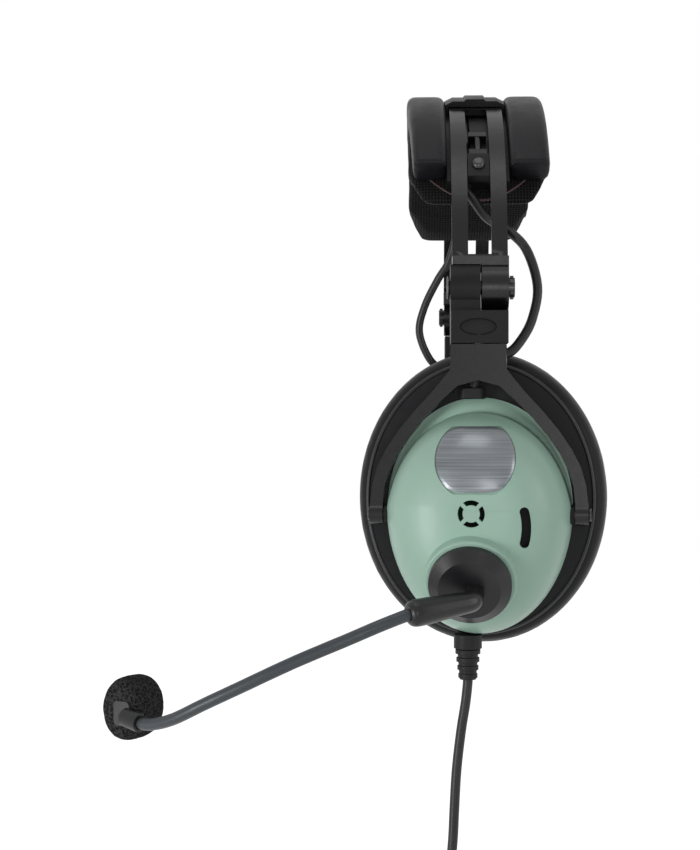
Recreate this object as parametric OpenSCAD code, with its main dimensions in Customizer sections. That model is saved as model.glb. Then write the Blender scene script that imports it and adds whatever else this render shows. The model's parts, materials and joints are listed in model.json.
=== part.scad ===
// Aviation headset: padded headband, two folding ear cups, boom microphone and cord.
// The origin is the middle of the head pad's underside at the crown, +Z up.
// The microphone points to -X, and the wearer's left ear is on the -Y side.

/* [Headband] */
// Inside radius of the head pad arch
arch_r = 61; // [58:0.5:64]
// Thickness of the soft cushion
cushion_t = 13; // [11:0.5:14]
// Width of the cushion at the crown
pad_w = 53; // [50:1:56]
// Half angle of the cushion round the arch
pad_half = 64; // [60:1:66]
// Height of the two edge rolls above the cushion
roll_t = 10.7; // [9:0.1:11]
// Width of an arm
arm_w = 20.5; // [19:0.5:21]
// Thickness of an arm
arm_t = 2; // [1.6:0.1:2.2]
// Width of the long slot in an arm
slot_w = 8.6; // [8:0.1:9]

/* [Hinges] */
// Distance of a fold axis from the middle of the head
hinge_y = 86; // [85:0.5:88]
// Radius of the hinge knuckles
knuckle_r = 8.5; // [8:0.1:8.8]
// Diameter of a hinge pin
pin_d = 5; // [4:0.1:6]
// Diameter of a swivel pin
swivel_d = 4; // [3.5:0.1:4.2]

/* [Cups] */
// Width of an ear seal
seal_w = 92; // [88:1:94]
// Height of an ear seal
seal_h = 108; // [104:1:110]
// Thickness of an ear seal
seal_t = 22; // [20:0.5:24]
// Width of the flange that carries the seal
flange_w = 82.5; // [80:0.5:84]
// Width of the outer shell
dome_w = 67; // [66:0.5:68]
// Height of the outer shell above its widest line
dome_up = 39.5; // [38:0.5:40]
// Depth of the outer shell below its widest line
dome_down = 45.8; // [44:0.2:46]
// Bulge of the outer shell away from the flange
dome_deep = 31.5; // [30:0.5:32]
// Angle that each cup is turned to the front
toe = 6; // [4:1:7]

/* [Boom] */
// Diameter of the turning disc
hub_d = 29; // [27:0.5:30]
// Diameter of the boom sleeve
boom_d = 4.4; // [4:0.1:5]

/* [Cords] */
// Diameter of the main cord
cord_d = 3.7; // [3.5:0.1:3.8]
// Diameter of the leads between the cups
lead_d = 3.6; // [3.4:0.1:3.6]
// Turns in the coiled part of the main cord
coil_turns = 10; // [8:1:12]
// Mean radius of the coil
coil_r = 22; // [21:0.5:24]

/* [Clearances] */
// Radial clearance of a running fit
fit = 0.05; // [0.03:0.01:0.08]
// Gap between pieces that move past each other
gap = 0.3; // [0.3:0.05:0.4]
// Gap between pieces that are seated on each other
seat = 0.05; // [0.02:0.01:0.06]

/* [Hidden] */
$fn = 64;

// Radii of the headband layers, from the middle of the arch
cushion_out = arch_r + cushion_t;
spine_in = cushion_out + seat;
spine_out = spine_in + 4.55;
lead_run_r = spine_in + 0.65 + lead_d / 2 + seat;
bridge_in = spine_out + seat;
arm_in = spine_out + 1.4;
arm_out = arm_in + arm_t;
bridge_out = arm_out + 2.5;
roll_out = cushion_out + roll_t;
arm_mid = (arm_in + arm_out) / 2;

// Half widths of the headband layers
roll_in_x = arm_w / 2 + 1.55;
bridge_x = roll_in_x - seat;
bracket_x = slot_w / 2 - gap;

// Angles round the arch, from the crown
roll_half = pad_half - 6.5;
spine_half = pad_half - 6;
bridge_half = 22;
arm_start = 8;
slot_start = 25;
slot_end = 81;
bracket_a = 54.5;
lead_run_x = -4.5;

// Heights and depths of the hinges and cups
hinge_z = -arch_r;
clear_r = knuckle_r + gap;
block_top = hinge_z - knuckle_r - 0.4;
block_foot = block_top - 11.7;
stem_top = block_foot - 0.4;
stem_bottom = stem_top - 10;
yoke_t = 5;
yoke_y = hinge_y + 8.5;
swivel_x = -1;
pivot_z = -143;
pivot_pin_d = 3;
eye_r = 3.8;
eye_in = 34.4;
eye_out = 39.1;
cup_z = -140.5;
seal_z = -137.5;
seal_face = 62;
flange_back = seal_face + seal_t;
flange_t = 3.5;
flange_front = flange_back + flange_t;
flange_h = flange_w + 16;
dome_wall = 2.2;
shoulder_h = 3;
dome_steps = 44;
board_y = flange_front + 14;
wheel_at = [8, -146.5];
wheel_r = 12.5;
wheel_y = flange_front + 18.5;
wheel_t = 2.5;
wheel_shaft_d = 3;
posts = [[-26, 14], [26, 14], [-25, -22], [25, -22]];
badge_z = -122.8;
vent_at = [-1, -141.7];
grommet_at = [-2.5, -90, -97.5];

// Boom: middle of the disc's back face, in the left cup's own frame
hub_at = [-1.5, -116.5, -165.9];
hub_lean = 114;
hub_t = 5.2;
spindle_d = 10;
bush_d = 14;

// Boom sleeve and microphone, chosen points in the headset's frame
elbow_from = [-3.5, -125.6, -171];
elbow_to = [-26, -137.2, -174.4];
boom_route = [[-26, -137.2, -174.4], [-36, -140.5, -178], [-46.2, -142, -182.3],
    [-64, -142, -189.8], [-81.9, -140, -198.5], [-95.7, -136, -205.4],
    [-105.4, -131, -210.8], [-112.5, -126, -213.5], [-117.6, -122.5, -214.3],
    [-122.5, -118.5, -213.3]];
mic_at = [-125, -106, -211];
mic_turn = 28;

// Routes of the leads and the main cord
lead_left_route = [[lead_run_x, -64.94, -20.47], [lead_run_x, -65.735, -21.742],
    [lead_run_x, -66.53, -23.014], [-1.7, -68.6, -27],
    [3, -70.3, -33.5], [9.5, -73.5, -38], [17, -78, -46], [21, -81.5, -60], [19, -84, -72],
    [15, -85.8, -79.8], [10.2, -87.6, -84.8], [3.5, -89.3, -86.2], [-0.8, -89.8, -91], [-2.5, -90, -97.5]];
lead_right_route = [[lead_run_x, 65.6, -20.8], [-5.5, 68.5, -27], [-8.5, 72, -37],
    [-13, 76, -44], [-19, 80, -56], [-21.5, 83, -68], [-16.5, 84.8, -80.6],
    [-9.5, 87, -85.4], [-3.5, 89.1, -86.5], [-0.6, 89.8, -91.2], [-0.5, 90, -97.5]];
relief_at = [-4.7, -89.5, -186.8];
relief_end = -203.07;
cord_route = [[-4.7, -89.5, -205], [-5.6, -89.6, -212], [-7.2, -89.8, -222],
    [-8.8, -90, -236], [-9.6, -90, -250], [-10, -90, -264], [-10, -90, -277]];
coil_tube_r = cord_d / 2 * sqrt(coil_turns / 0.75);
coil_at = [-10, -90, -277 - seat - coil_r - coil_tube_r];
splitter_top = coil_at[2] - coil_r - coil_tube_r - 6;
splitter_h = 20;
tail_h = 14;
grip_h = 34;
grip_top = splitter_top - splitter_h - tail_h;
plug_gap = 9;

// ---- Helpers ----

// Band round the arch between two angles, from the crown towards the left ear
module arch_band(from, to) {
    translate([0, 0, -arch_r])
        rotate([0, 90, 0])
            rotate([0, 0, 180 + from])
                rotate_extrude(angle = to - from, $fn = 180)
                    children();
}

// Rectangle of the arch's section: two radii and two places across the headband
module section(r0, r1, x0, x1) {
    translate([r0, x0])
        square([r1 - r0, x1 - x0]);
}

// Something placed on the arch at an angle, with +Z pointing away from its middle
module on_arch(angle, radius) {
    translate([0, 0, -arch_r])
        rotate([angle, 0, 0])
            translate([0, 0, radius])
                children();
}

// Box between opposite corners
module box(low, high) {
    translate(low)
        cube(high - low);
}

// Rod along X
module rod_x(x0, x1, radius, y, z) {
    translate([x0, y, z])
        rotate([0, 90, 0])
            cylinder(h = x1 - x0, r = radius);
}

// Flat outline in X and Z, given thickness from depth y0 out to depth y1 on the left
module plate(y0, y1) {
    translate([0, -y0, 0])
        rotate([90, 0, 0])
            linear_extrude(y1 - y0)
                children();
}

// Rectangle with round corners, about its middle
module rounded(w, h, r) {
    square([w - 2 * r, h], center = true);
    square([w, h - 2 * r], center = true);
    for (x = [-1, 1], y = [-1, 1])
        translate([x * (w / 2 - r), y * (h / 2 - r)])
            circle(r = r);
}

// Ellipse as a smooth outline
module oval(w, h) {
    polygon([for (i = [0:63]) [w / 2 * cos(i * 5.625), h / 2 * sin(i * 5.625)]]);
}

// Six times the volume that a face spans with the origin; its sign tells which way the face turns
function face_turn(pts, f) = sum_of([for (k = [1:len(f) - 2])
    cross(pts[f[k]] - pts[f[0]], pts[f[k + 1]] - pts[f[0]]) * pts[f[0]]]);
function sum_of(v) = v * [for (x = v) 1];
function reversed(v) = [for (i = [len(v) - 1:-1:0]) v[i]];

// Skin over a list of equal rings: closed round as a torus, or capped at both ends
module skin(rings, torus = false) {
    n = len(rings[0]);
    m = len(rings);
    points = [for (ring = rings) for (p = ring) p];
    sides = [for (i = [0:m - (torus ? 1 : 2)]) for (j = [0:n - 1])
        [i * n + j, i * n + (j + 1) % n, ((i + 1) % m) * n + (j + 1) % n, ((i + 1) % m) * n + j]];
    caps = torus ? [] : [[for (j = [n - 1:-1:0]) j], [for (j = [0:n - 1]) (m - 1) * n + j]];
    faces = concat(sides, caps);
    inside_out = sum_of([for (f = faces) face_turn(points, f)]) > 0;
    polyhedron(points, inside_out ? [for (f = faces) reversed(f)] : faces, convexity = 6);
}

// Smooth curve through chosen points
function curve_point(a, b, c, d, t) =
    0.5 * (2 * b + (c - a) * t + (2 * a - 5 * b + 4 * c - d) * t * t
    + (3 * b - a - 3 * c + d) * t * t * t);
function pick(p, i) = p[max(0, min(len(p) - 1, i))];
function smooth_route(p, steps) = concat(
    [for (i = [0:len(p) - 2]) for (s = [0:steps - 1])
        curve_point(pick(p, i - 1), p[i], p[i + 1], pick(p, i + 2), s / steps)],
    [p[len(p) - 1]]);
function unit(v) = v / norm(v);
function tangent(p, i) = unit(pick(p, i + 1) - pick(p, i - 1));

// Round tube along a route; ref is a direction that the route never follows
module tube(route, radius, sides, ref) {
    rings = [for (i = [0:len(route) - 1])
        let (t = tangent(route, i), u = unit(cross(t, ref)), v = cross(t, u))
        [for (j = [0:sides - 1])
            route[i] - radius * cos(j * 360 / sides) * u + radius * sin(j * 360 / sides) * v]];
    skin(rings);
}

// The two sides: hardware turned half round, cups mirrored
module turned() {
    rotate([0, 0, 180])
        children();
}

module mirrored() {
    translate([-2 * swivel_x, 0, 0])
        mirror([0, 1, 0])
            children();
}

// Left cup's own frame, turned to the front about the swivel
module toed() {
    translate([swivel_x, -yoke_y, 0])
        rotate([0, 0, -toe])
            translate([0, yoke_y, 0])
                children();
}

// ---- Headband ----

// Outline of the pad from the side, narrower towards both ends
module pad_outline(top_w, end_w, end_z) {
    hull() {
        translate([-top_w / 2, -20])
            square([top_w, 60]);
        for (x = [-1, 1])
            translate([x * (end_w / 2 - 8), end_z + 8])
                circle(r = 8);
    }
}

module pad_cushion() {
    color("#26262a")
        intersection() {
            arch_band(-pad_half, pad_half)
                section(arch_r, cushion_out, -pad_w / 2, pad_w / 2);
            plate(-100, 100)
                pad_outline(pad_w, pad_w - 12, -36);
        }
}

// Leather roll along one long edge of the pad; side is -1 at the front and 1 at the rear
module pad_roll(side) {
    color("#1b1b1d")
        intersection() {
            arch_band(-roll_half, roll_half)
                translate([(spine_in + roll_out) / 2, side * (roll_in_x + pad_w / 2 + 0.5) / 2])
                    rounded(roll_out - spine_in, pad_w / 2 + 0.5 - roll_in_x, 3);
            plate(-100, 100)
                pad_outline(pad_w + 1, pad_w - 4, -34);
        }
}

module pad_spine() {
    color("#222224")
        difference() {
            arch_band(-spine_half, spine_half)
                section(spine_in, spine_out, -bridge_x, bridge_x);
            arch_band(-spine_half - 1, spine_half + 1)
                section(spine_in + 0.6, spine_out + 1, lead_run_x - lead_d / 2 - seat,
                    lead_run_x + lead_d / 2 + seat);
            for (x = [-1, 1])
                on_arch(0, spine_in + 0.8)
                    translate([x * 7.5, 0, 0])
                        cylinder(h = 10, r = 1.2 + seat);
            for (a = [-bracket_a, bracket_a])
                on_arch(a, spine_in + 0.8)
                    cylinder(h = 10, r = 1.5 + seat);
        }
}

module crown_bridge() {
    color("#1e1e20")
        difference() {
            arch_band(-bridge_half, bridge_half)
                polygon([[bridge_in, -bridge_x], [bridge_out - 1.5, -bridge_x],
                    [bridge_out, -8.7], [bridge_out, -4.3], [bridge_out + 0.8, -3.6],
                    [bridge_out + 0.8, 3.6], [bridge_out, 4.3], [bridge_out, 8.7],
                    [bridge_out - 1.5, bridge_x], [bridge_in, bridge_x]]);
            arch_band(-bridge_half - 1, bridge_half + 1)
                section(arm_in - gap, arm_out + gap, -arm_w / 2 - gap, arm_w / 2 + gap);
            for (x = [-1, 1])
                on_arch(0, spine_in)
                    translate([x * 7.5, 0, 0])
                        cylinder(h = 20, r = 1.2 + seat);
            for (x = [-1, 1])
                on_arch(0, bridge_out - 0.8)
                    translate([x * 7.5, 0, 0])
                        cylinder(h = 5, r = 2.3 + seat);
        }
}

// Screw with a round head: shaft up to the head's seat
module screw(shaft_r, shaft_h, head_r, head_h) {
    cylinder(h = shaft_h, r = shaft_r);
    translate([0, 0, shaft_h])
        cylinder(h = head_h * 0.5, r = head_r);
    translate([0, 0, shaft_h + head_h * 0.5])
        cylinder(h = head_h * 0.5, r1 = head_r, r2 = head_r * 0.6);
}

module crown_screws() {
    color("#4a4a4e")
        for (x = [-1, 1])
            on_arch(0, spine_in + 0.8 + seat)
                translate([x * 7.5, 0, 0])
                    screw(1.2, bridge_out - spine_in - 1.6, 2.3, 1.6);
}

module slider_brackets() {
    color("#2a2a2d")
        for (side = [-1, 1])
            difference() {
                union() {
                    arch_band(side * bracket_a - 4, side * bracket_a + 4)
                        section(bridge_in, arm_out + 0.6, -bracket_x, bracket_x);
                    arch_band(side * bracket_a - 4, side * bracket_a + 4)
                        section(bridge_in, arm_in - gap - 0.4, -9, 9);
                }
                on_arch(side * bracket_a, spine_in)
                    cylinder(h = 20, r = 1.5 + seat);
            }
}

module slider_screws() {
    color("#6c6c70")
        for (side = [-1, 1])
            on_arch(side * bracket_a, spine_in + 0.8 + seat)
                screw(1.5, arm_out + 0.6 - spine_in - 0.8, 2.45, 1.8);
}

// Rods that carry the lead's ends along the slots, with a foot at each end
module lead_conduits() {
    color("#3c3c40")
        for (side = [-1, 1])
            mirror([0, side < 0 ? 0 : 1, 0]) {
                arch_band(42, 50.4)
                    translate([arm_mid - 0.4, 0])
                        circle(r = 1.2, $fn = 24);
                for (a = [40.5, 48.2])
                    arch_band(a, a + 2)
                        section(bridge_in, arm_out, -3.4, 3.4);
            }
}

module crossover_lead() {
    color("#1a1a1c")
        arch_band(-spine_half, spine_half)
            translate([lead_run_r, lead_run_x])
                circle(r = lead_d / 2, $fn = 24);
}

// ---- Arms and hinges ----

module arm() {
    color("#232326")
        difference() {
            union() {
                arch_band(arm_start, 86)
                    section(arm_in, arm_out, -arm_w / 2, arm_w / 2);
                box([-arm_w / 2, -hinge_y - 2.5, hinge_z + 6], [arm_w / 2, -arm_in + 2.2, hinge_z + 11.5]);
                rod_x(gap, arm_w / 2 - 0.25, knuckle_r, -hinge_y, hinge_z);
            }
            arch_band(slot_start, slot_end)
                section(arm_in - 4, arm_out + 6, -slot_w / 2, slot_w / 2);
            rod_x(-arm_w, gap, clear_r, -hinge_y, hinge_z);
            rod_x(0, arm_w, pin_d / 2, -hinge_y, hinge_z);
        }
}

module hinge_pin() {
    color("#8f8f94")
        union() {
            rod_x(-11.2, arm_w / 2 + 1.6, pin_d / 2, -hinge_y, hinge_z);
            rod_x(-12.2, -11.2, 4.15, -hinge_y, hinge_z);
        }
}

// Star lock nut: six low points round its rim
module lock_nut() {
    color("#77777c")
        difference() {
            union() {
                rod_x(arm_w / 2 - 0.25 + seat, arm_w / 2 + 2.1, 3.6, -hinge_y, hinge_z);
                for (a = [0:60:300])
                    translate([arm_w / 2 + 0.4, -hinge_y, hinge_z])
                        rotate([a, 0, 0])
                            translate([0, -0.75, 0])
                                cube([1.3, 1.5, 4.25]);
            }
            rod_x(0, arm_w / 2 + 1.6 + seat, pin_d / 2 + 0.01, -hinge_y, hinge_z);
        }
}

module hinge_block() {
    outer = -hinge_y - 11;
    color("#1f1f22")
        difference() {
            union() {
                rod_x(-11, -gap, knuckle_r, -hinge_y, hinge_z);
                box([-11, -hinge_y - 7, block_top - 1], [-gap, -hinge_y + 5.5, hinge_z]);
                box([-11, outer, block_foot], [9.6, -hinge_y + 6, block_top]);
            }
            rod_x(-12, 0, pin_d / 2 + fit, -hinge_y, hinge_z);
            translate([-1.2, outer + 0.6, (block_top + block_foot) / 2])
                rotate([90, 0, 0])
                    scale([2.15, 1, 1])
                        cylinder(h = 4, r = 3.1);
            translate([swivel_x, -yoke_y, block_foot - 1])
                cylinder(h = 9, r = swivel_d / 2 + fit);
        }
}

// Half of the yoke's outline, from the stem's top down the outside and back up the inside
yoke_outer = [[10, stem_top], [10, stem_bottom + 1], [16.5, -99], [23, -106], [28.6, -112.8],
    [33.3, -119.8], [36.4, -126], [38.2, -132.5], [eye_out, -140], [eye_out, pivot_z]];
yoke_inner = [[eye_in, pivot_z], [eye_in, -139], [33.8, -133], [32.1, -127.5],
    [29.2, -121.6], [25, -115.4], [19.8, -109], [13.4, -102.4], [7.5, -97], [0, -95]];
function flipped(p) = [for (i = [len(p) - 1:-1:0]) [-p[i][0], p[i][1]]];

module yoke() {
    inner_left = flipped(yoke_inner);
    outer_left = flipped(yoke_outer);
    color("#202023")
        toed()
            difference() {
                union() {
                    plate(yoke_y - yoke_t / 2, yoke_y + yoke_t / 2)
                        polygon(concat(yoke_outer, yoke_inner,
                            [for (i = [1:len(inner_left) - 1]) inner_left[i]], outer_left));
                    for (side = [-1, 1])
                        rod_x(side < 0 ? -eye_out : eye_in, side < 0 ? -eye_in : eye_out, eye_r,
                            -yoke_y, pivot_z);
                    translate([0, -yoke_y, stem_top - 1])
                        cylinder(h = 8.5, r = swivel_d / 2);
                }
                rod_x(-50, 50, pivot_pin_d / 2 + fit, -yoke_y, pivot_z);
            }
}

// Shouldered pins that the cup tilts on; their heads cap the yoke's eyes
module pivot_pins() {
    color("#6f6f74")
        toed()
            for (side = [-1, 1])
                mirror([side < 0 ? 1 : 0, 0, 0]) {
                    rod_x(29, eye_out + 0.1, pivot_pin_d / 2, -yoke_y, pivot_z);
                    rod_x(eye_out + 0.1, eye_out + 1, 2.4, -yoke_y, pivot_z);
                }
}

// ---- Cups ----

module cup_shell() {
    color("#1c1c1e")
        toed()
            difference() {
                union() {
                    translate([0, 0, seal_z])
                        plate(flange_back, flange_front)
                            oval(flange_w, flange_h);
                    for (side = [-1, 1])
                        mirror([side < 0 ? 1 : 0, 0, 0]) {
                            rod_x(27, eye_in - gap, 3.4, -yoke_y, pivot_z);
                            box([27, -yoke_y, pivot_z - 3.4], [31, -flange_front + 0.5, pivot_z + 3.4]);
                        }
                }
                translate([0, -flange_front - 1, seal_z])
                    rotate([-90, 0, 0])
                        cylinder(h = flange_t + 2, r = 20 + seat);
                for (side = [-1, 1])
                    mirror([side < 0 ? 1 : 0, 0, 0])
                        rod_x(28.9, 40, pivot_pin_d / 2 + seat, -yoke_y, pivot_z);
                for (p = posts)
                    translate([p[0], -flange_front - 1, cup_z + p[1]])
                        rotate([-90, 0, 0])
                            cylinder(h = flange_t + 2, r = 1.3);
                for (p = posts)
                    translate([p[0], -flange_back - 1.4, cup_z + p[1]])
                        rotate([-90, 0, 0])
                            cylinder(h = 3, r = 2.5);
                grommet_space(seat);
            }
}

// Height of the outer shell over the flange. Near the top it steps up over a low shoulder,
// which narrows down both sides and ends at the widest line.
function shoulder(t) = 1 - 0.14 * pow(max(0, sin(t)), 0.8);
function bulge(b, e) = shoulder_h + (dome_deep + e - shoulder_h) * pow(1 - pow(b, 2.5), 0.4);
function rim_point(t, r, h, e) =
    [(dome_w / 2 + e) * r * cos(t), -flange_front - h,
     cup_z + ((sin(t) > 0 ? dome_up : dome_down) + e) * r * sin(t)];
shoulder_rings = [[1, 0], [0.94, 0.45], [0.7, 0.84], [0.2, 1]];
bulge_rings = [0.994, 0.975, 0.94, 0.88, 0.8, 0.7, 0.58, 0.44, 0.3, 0.14];

// Solid under the outer surface, grown by e all round; foot carries it below the flange's face
module dome_solid(e, foot = 0) {
    rings = concat(
        foot == 0 ? [] : [[for (i = [0:dome_steps - 1])
            rim_point(i * 360 / dome_steps, 1, -foot, e)]],
        [for (s = shoulder_rings) [for (i = [0:dome_steps - 1])
            let (t = i * 360 / dome_steps)
            rim_point(t, shoulder(t) + (1 - shoulder(t)) * s[0], (shoulder_h + e) * s[1], e)]],
        [for (b = bulge_rings) [for (i = [0:dome_steps - 1])
            let (t = i * 360 / dome_steps)
            rim_point(t, shoulder(t) * b, bulge(b, e), e)]]);
    skin(rings);
}

// Curved volume slot seen from outside
module slot_outline() {
    intersection() {
        difference() {
            circle(r = 23.6, $fn = 96);
            circle(r = 20.3, $fn = 96);
        }
        translate([16, -5.46])
            square([12, 10.92]);
    }
    for (a = [-14.4, 14.4])
        rotate([0, 0, a])
            translate([21.95, 0])
                circle(r = 1.65, $fn = 24);
}

module vent_outline() {
    difference() {
        circle(r = 4.7, $fn = 32);
        circle(r = 3.0, $fn = 32);
        for (a = [45, 135])
            rotate([0, 0, a])
                square([12, 1.4], center = true);
    }
}

module badge_outline(e) {
    intersection() {
        circle(r = 14 + e, $fn = 48);
        translate([0, -0.4])
            square([30, 23.2 + 2 * e], center = true);
    }
}

module badge_prism(e) {
    translate([0, 0, badge_z])
        plate(flange_front + 15, flange_front + 45)
            badge_outline(e);
}

// Puck and hole of the boom disc, in the left cup's own frame
module at_hub(depth) {
    translate(hub_at)
        rotate([hub_lean, 0, 0])
            translate([0, 0, depth])
                children();
}

// Outer shell, the same on both sides
module dome() {
    color("#9fd0b2")
        toed()
            difference() {
                union() {
                    difference() {
                        dome_solid(0);
                        dome_solid(-dome_wall, 1);
                    }
                    intersection() {
                        for (p = posts)
                            translate([p[0], -flange_front - 14, cup_z + p[1]])
                                rotate([-90, 0, 0])
                                    cylinder(h = 14, r = 3, $fn = 24);
                        dome_solid(-0.5, 1);
                    }
                    at_hub(-gap - 7)
                        cylinder(h = 7, r = hub_d / 2 + 1.6, $fn = 40);
                }
                for (p = posts)
                    translate([p[0], -flange_front - 12, cup_z + p[1]])
                        rotate([-90, 0, 0])
                            cylinder(h = 14, r = 1.25, $fn = 24);
                difference() {
                    badge_prism(0.15);
                    dome_solid(-0.6, 1);
                }
                translate([vent_at[0], 0, vent_at[1]])
                    plate(flange_front + 15, flange_front + 45)
                        vent_outline();
                translate([-4.1, 0, -146.5])
                    plate(flange_front + 12, flange_front + 45)
                        slot_outline();
                at_hub(-20)
                    cylinder(h = 40, r = bush_d / 2 + seat, $fn = 40);
                at_hub(-gap)
                    cylinder(h = 9, r = hub_d / 2 + 0.5, $fn = 40);
                for (side = [-1, 1])
                    mirror([side < 0 ? 1 : 0, 0, 0])
                        rod_x(24, 45, 3.4 + seat, -yoke_y, pivot_z);
                for (side = [-1, 1])
                    mirror([side < 0 ? 1 : 0, 0, 0])
                        box([26, -yoke_y - seat, pivot_z - 3.45],
                            [45, -flange_front + 1, pivot_z + 3.45]);
                grommet_space(seat);
            }
}

module badge() {
    color("#b9b9bd")
        toed()
            intersection() {
                badge_prism(0);
                difference() {
                    dome_solid(0.35, 1);
                    dome_solid(-0.55, 2);
                }
            }
}

// Rounded ring that fits round the ear
module ear_seal() {
    a = seal_w / 2 - 12;
    b = seal_h / 2 - 12;
    color("#161618")
        toed()
            skin([for (k = [0:19])
                let (c = cos(k * 18), s = sin(k * 18),
                    out = 12 * sign(c) * pow(abs(c), 0.6), y = seal_t / 2 * sign(s) * pow(abs(s), 0.75))
                [for (i = [0:55])
                    let (t = i * 360 / 56)
                    [(a + out) * cos(t), y - seal_face - seal_t / 2, seal_z + (b + out) * sin(t)]]],
                true);
}

module foam_liner() {
    color("#2b2b2e")
        toed()
            translate([0, 0, seal_z])
                plate(flange_back - 3 - seat, flange_back - seat)
                    oval(seal_w - 49, seal_h - 49);
}

module speaker() {
    color("#3b3b40")
        toed()
            translate([0, -flange_back, seal_z])
                rotate([90, 0, 0]) {
                    cylinder(h = 6, r = 20);
                    cylinder(h = 10, r = 12);
                    translate([0, 0, 3.5 + seat])
                        cylinder(h = 1.5, r = 21.5);
                }
}

// Volume control board on two standoffs behind the speaker
module control_board() {
    color("#2f6b3f")
        toed()
            difference() {
                union() {
                    box([-18, -board_y - 1.6, -160], [14, -board_y, -118]);
                    box([wheel_at[0] - 5, -board_y - 3.6, wheel_at[1] - 5],
                        [wheel_at[0] + 5, -board_y - 1.5, wheel_at[1] + 5]);
                    translate([wheel_at[0], -board_y - 3, wheel_at[1]])
                        rotate([90, 0, 0])
                            cylinder(h = 4, r = wheel_shaft_d / 2);
                    for (z = [-156, -119])
                        box([-16, -board_y, z - 2], [-14.5, -flange_front - seat, z + 2]);
                }
                translate([0, -flange_back, seal_z])
                    rotate([90, 0, 0])
                        cylinder(h = 10.1, r = 12.3);
            }
}

module dome_screws() {
    color("#55555a")
        toed()
            for (p = posts)
                translate([p[0], -flange_front - 10, cup_z + p[1]])
                    rotate([-90, 0, 0])
                        screw(1.2, 10 + flange_t - 1.4 + seat, 2.3, 1.2);
}

// Space and body of the grommet that takes a lead into the cup
module grommet_space(e) {
    translate(grommet_at - [0, 0, 4])
        rounded_post(9 + 2 * e, 7 + 2 * e, 8 + 2 * e);
}

module rounded_post(w, d, h) {
    translate([0, 0, -h / 2])
        linear_extrude(h)
            rounded(w, d, 2);
}

module lead_grommet() {
    color("#19191b")
        toed()
            difference() {
                grommet_space(0);
                translate(grommet_at - [0, 0, 1])
                    cylinder(h = 10, r = lead_d / 2 + 0.3);
            }
}

module volume_wheel() {
    color("#141416")
        toed()
            difference() {
                translate([wheel_at[0], -wheel_y, wheel_at[1]])
                    rotate([90, 0, 0]) {
                        cylinder(h = wheel_t, r = wheel_r - 0.4);
                        for (a = [0:15:345])
                            rotate([0, 0, a])
                                translate([wheel_r - 1.4, -0.5, 0])
                                    cube([1.4, 1, wheel_t]);
                    }
                translate([wheel_at[0], -wheel_y + 1, wheel_at[1]])
                    rotate([90, 0, 0])
                        cylinder(h = 10, r = wheel_shaft_d / 2 + fit);
            }
}

// Plain cover over the boom hole of the right cup
module blank_cap() {
    color("#1d1d20")
        toed()
            at_hub(-gap + seat) {
                cylinder(h = 2.2, r = hub_d / 2);
                translate([0, 0, 2.2])
                    cylinder(h = 1.6, r1 = hub_d / 2, r2 = hub_d / 2 - 3);
                translate([0, 0, -6])
                    cylinder(h = 6.5, r = bush_d / 2);
            }
}

// ---- Boom and microphone ----

module boom_bush() {
    color("#d8d4c6")
        toed()
            at_hub(-gap - 7)
                difference() {
                    cylinder(h = 7, r = bush_d / 2);
                    translate([0, 0, -1])
                        cylinder(h = 9, r = spindle_d / 2 + fit);
                }
}

module boom_hub() {
    color("#1d1d20")
        difference() {
            toed()
                at_hub(0) {
                    cylinder(h = 2.4, r = hub_d / 2);
                    translate([0, 0, 2.4])
                        cylinder(h = hub_t - 2.4, r1 = hub_d / 2, r2 = hub_d / 2 - 3.6);
                    translate([0, 0, -7])
                        cylinder(h = 7.5, r = spindle_d / 2);
                }
            elbow_solid(seat);
        }
}

// Something laid along the line between two points
module along(from, to) {
    v = to - from;
    translate(from)
        rotate([0, acos(v[2] / norm(v)), atan2(v[1], v[0])])
            children();
}

module elbow_solid(e) {
    reach = norm(elbow_to - elbow_from);
    translate(elbow_from)
        sphere(r = 3.6 + e);
    along(elbow_from, elbow_to)
        cylinder(h = reach, r1 = 3.6 + e, r2 = 4.8 + e);
    along(elbow_from, elbow_from + [0, 9.135, 4.067])
        cylinder(h = 5.2, r = 3.4 + e);
}

module boom_elbow() {
    color("#202124")
        difference() {
            elbow_solid(0);
            along(elbow_to - 8 * unit(elbow_to - elbow_from), elbow_to + [-1, -0.5, -0.2])
                cylinder(h = 12, r = boom_d / 2 + seat);
        }
}

module boom_tube() {
    lead_in = elbow_to - 6 * unit(elbow_to - elbow_from);
    color("#4c5258")
        tube(concat([lead_in], smooth_route(boom_route, 2)), boom_d / 2, 12, [0.1, 0.2, 1]);
}

// The microphone's own frame: +Z points out of the mouth side of the foam
module at_mic() {
    translate(mic_at)
        rotate([-90, 0, -mic_turn])
            children();
}

module mic_bracket() {
    tip = boom_route[len(boom_route) - 1];
    color("#17181a")
        difference() {
            union() {
                at_mic()
                    translate([0, 0, -9.5])
                        linear_extrude(2.5)
                            rounded(11, 13, 2.5);
                along(tip - 5 * tangent(boom_route, len(boom_route) - 1), tip + [-1, 0.8, 0.2])
                    cylinder(h = 8, r = 3.4);
            }
            along(tip - 8 * tangent(boom_route, len(boom_route) - 1), tip)
                cylinder(h = 8.05, r = boom_d / 2 + 0.25);
        }
}

module mic_capsule() {
    color("#222326")
        at_mic()
            translate([0, 0, -7 + seat])
                linear_extrude(9)
                    rounded(9, 11, 2);
}

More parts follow.
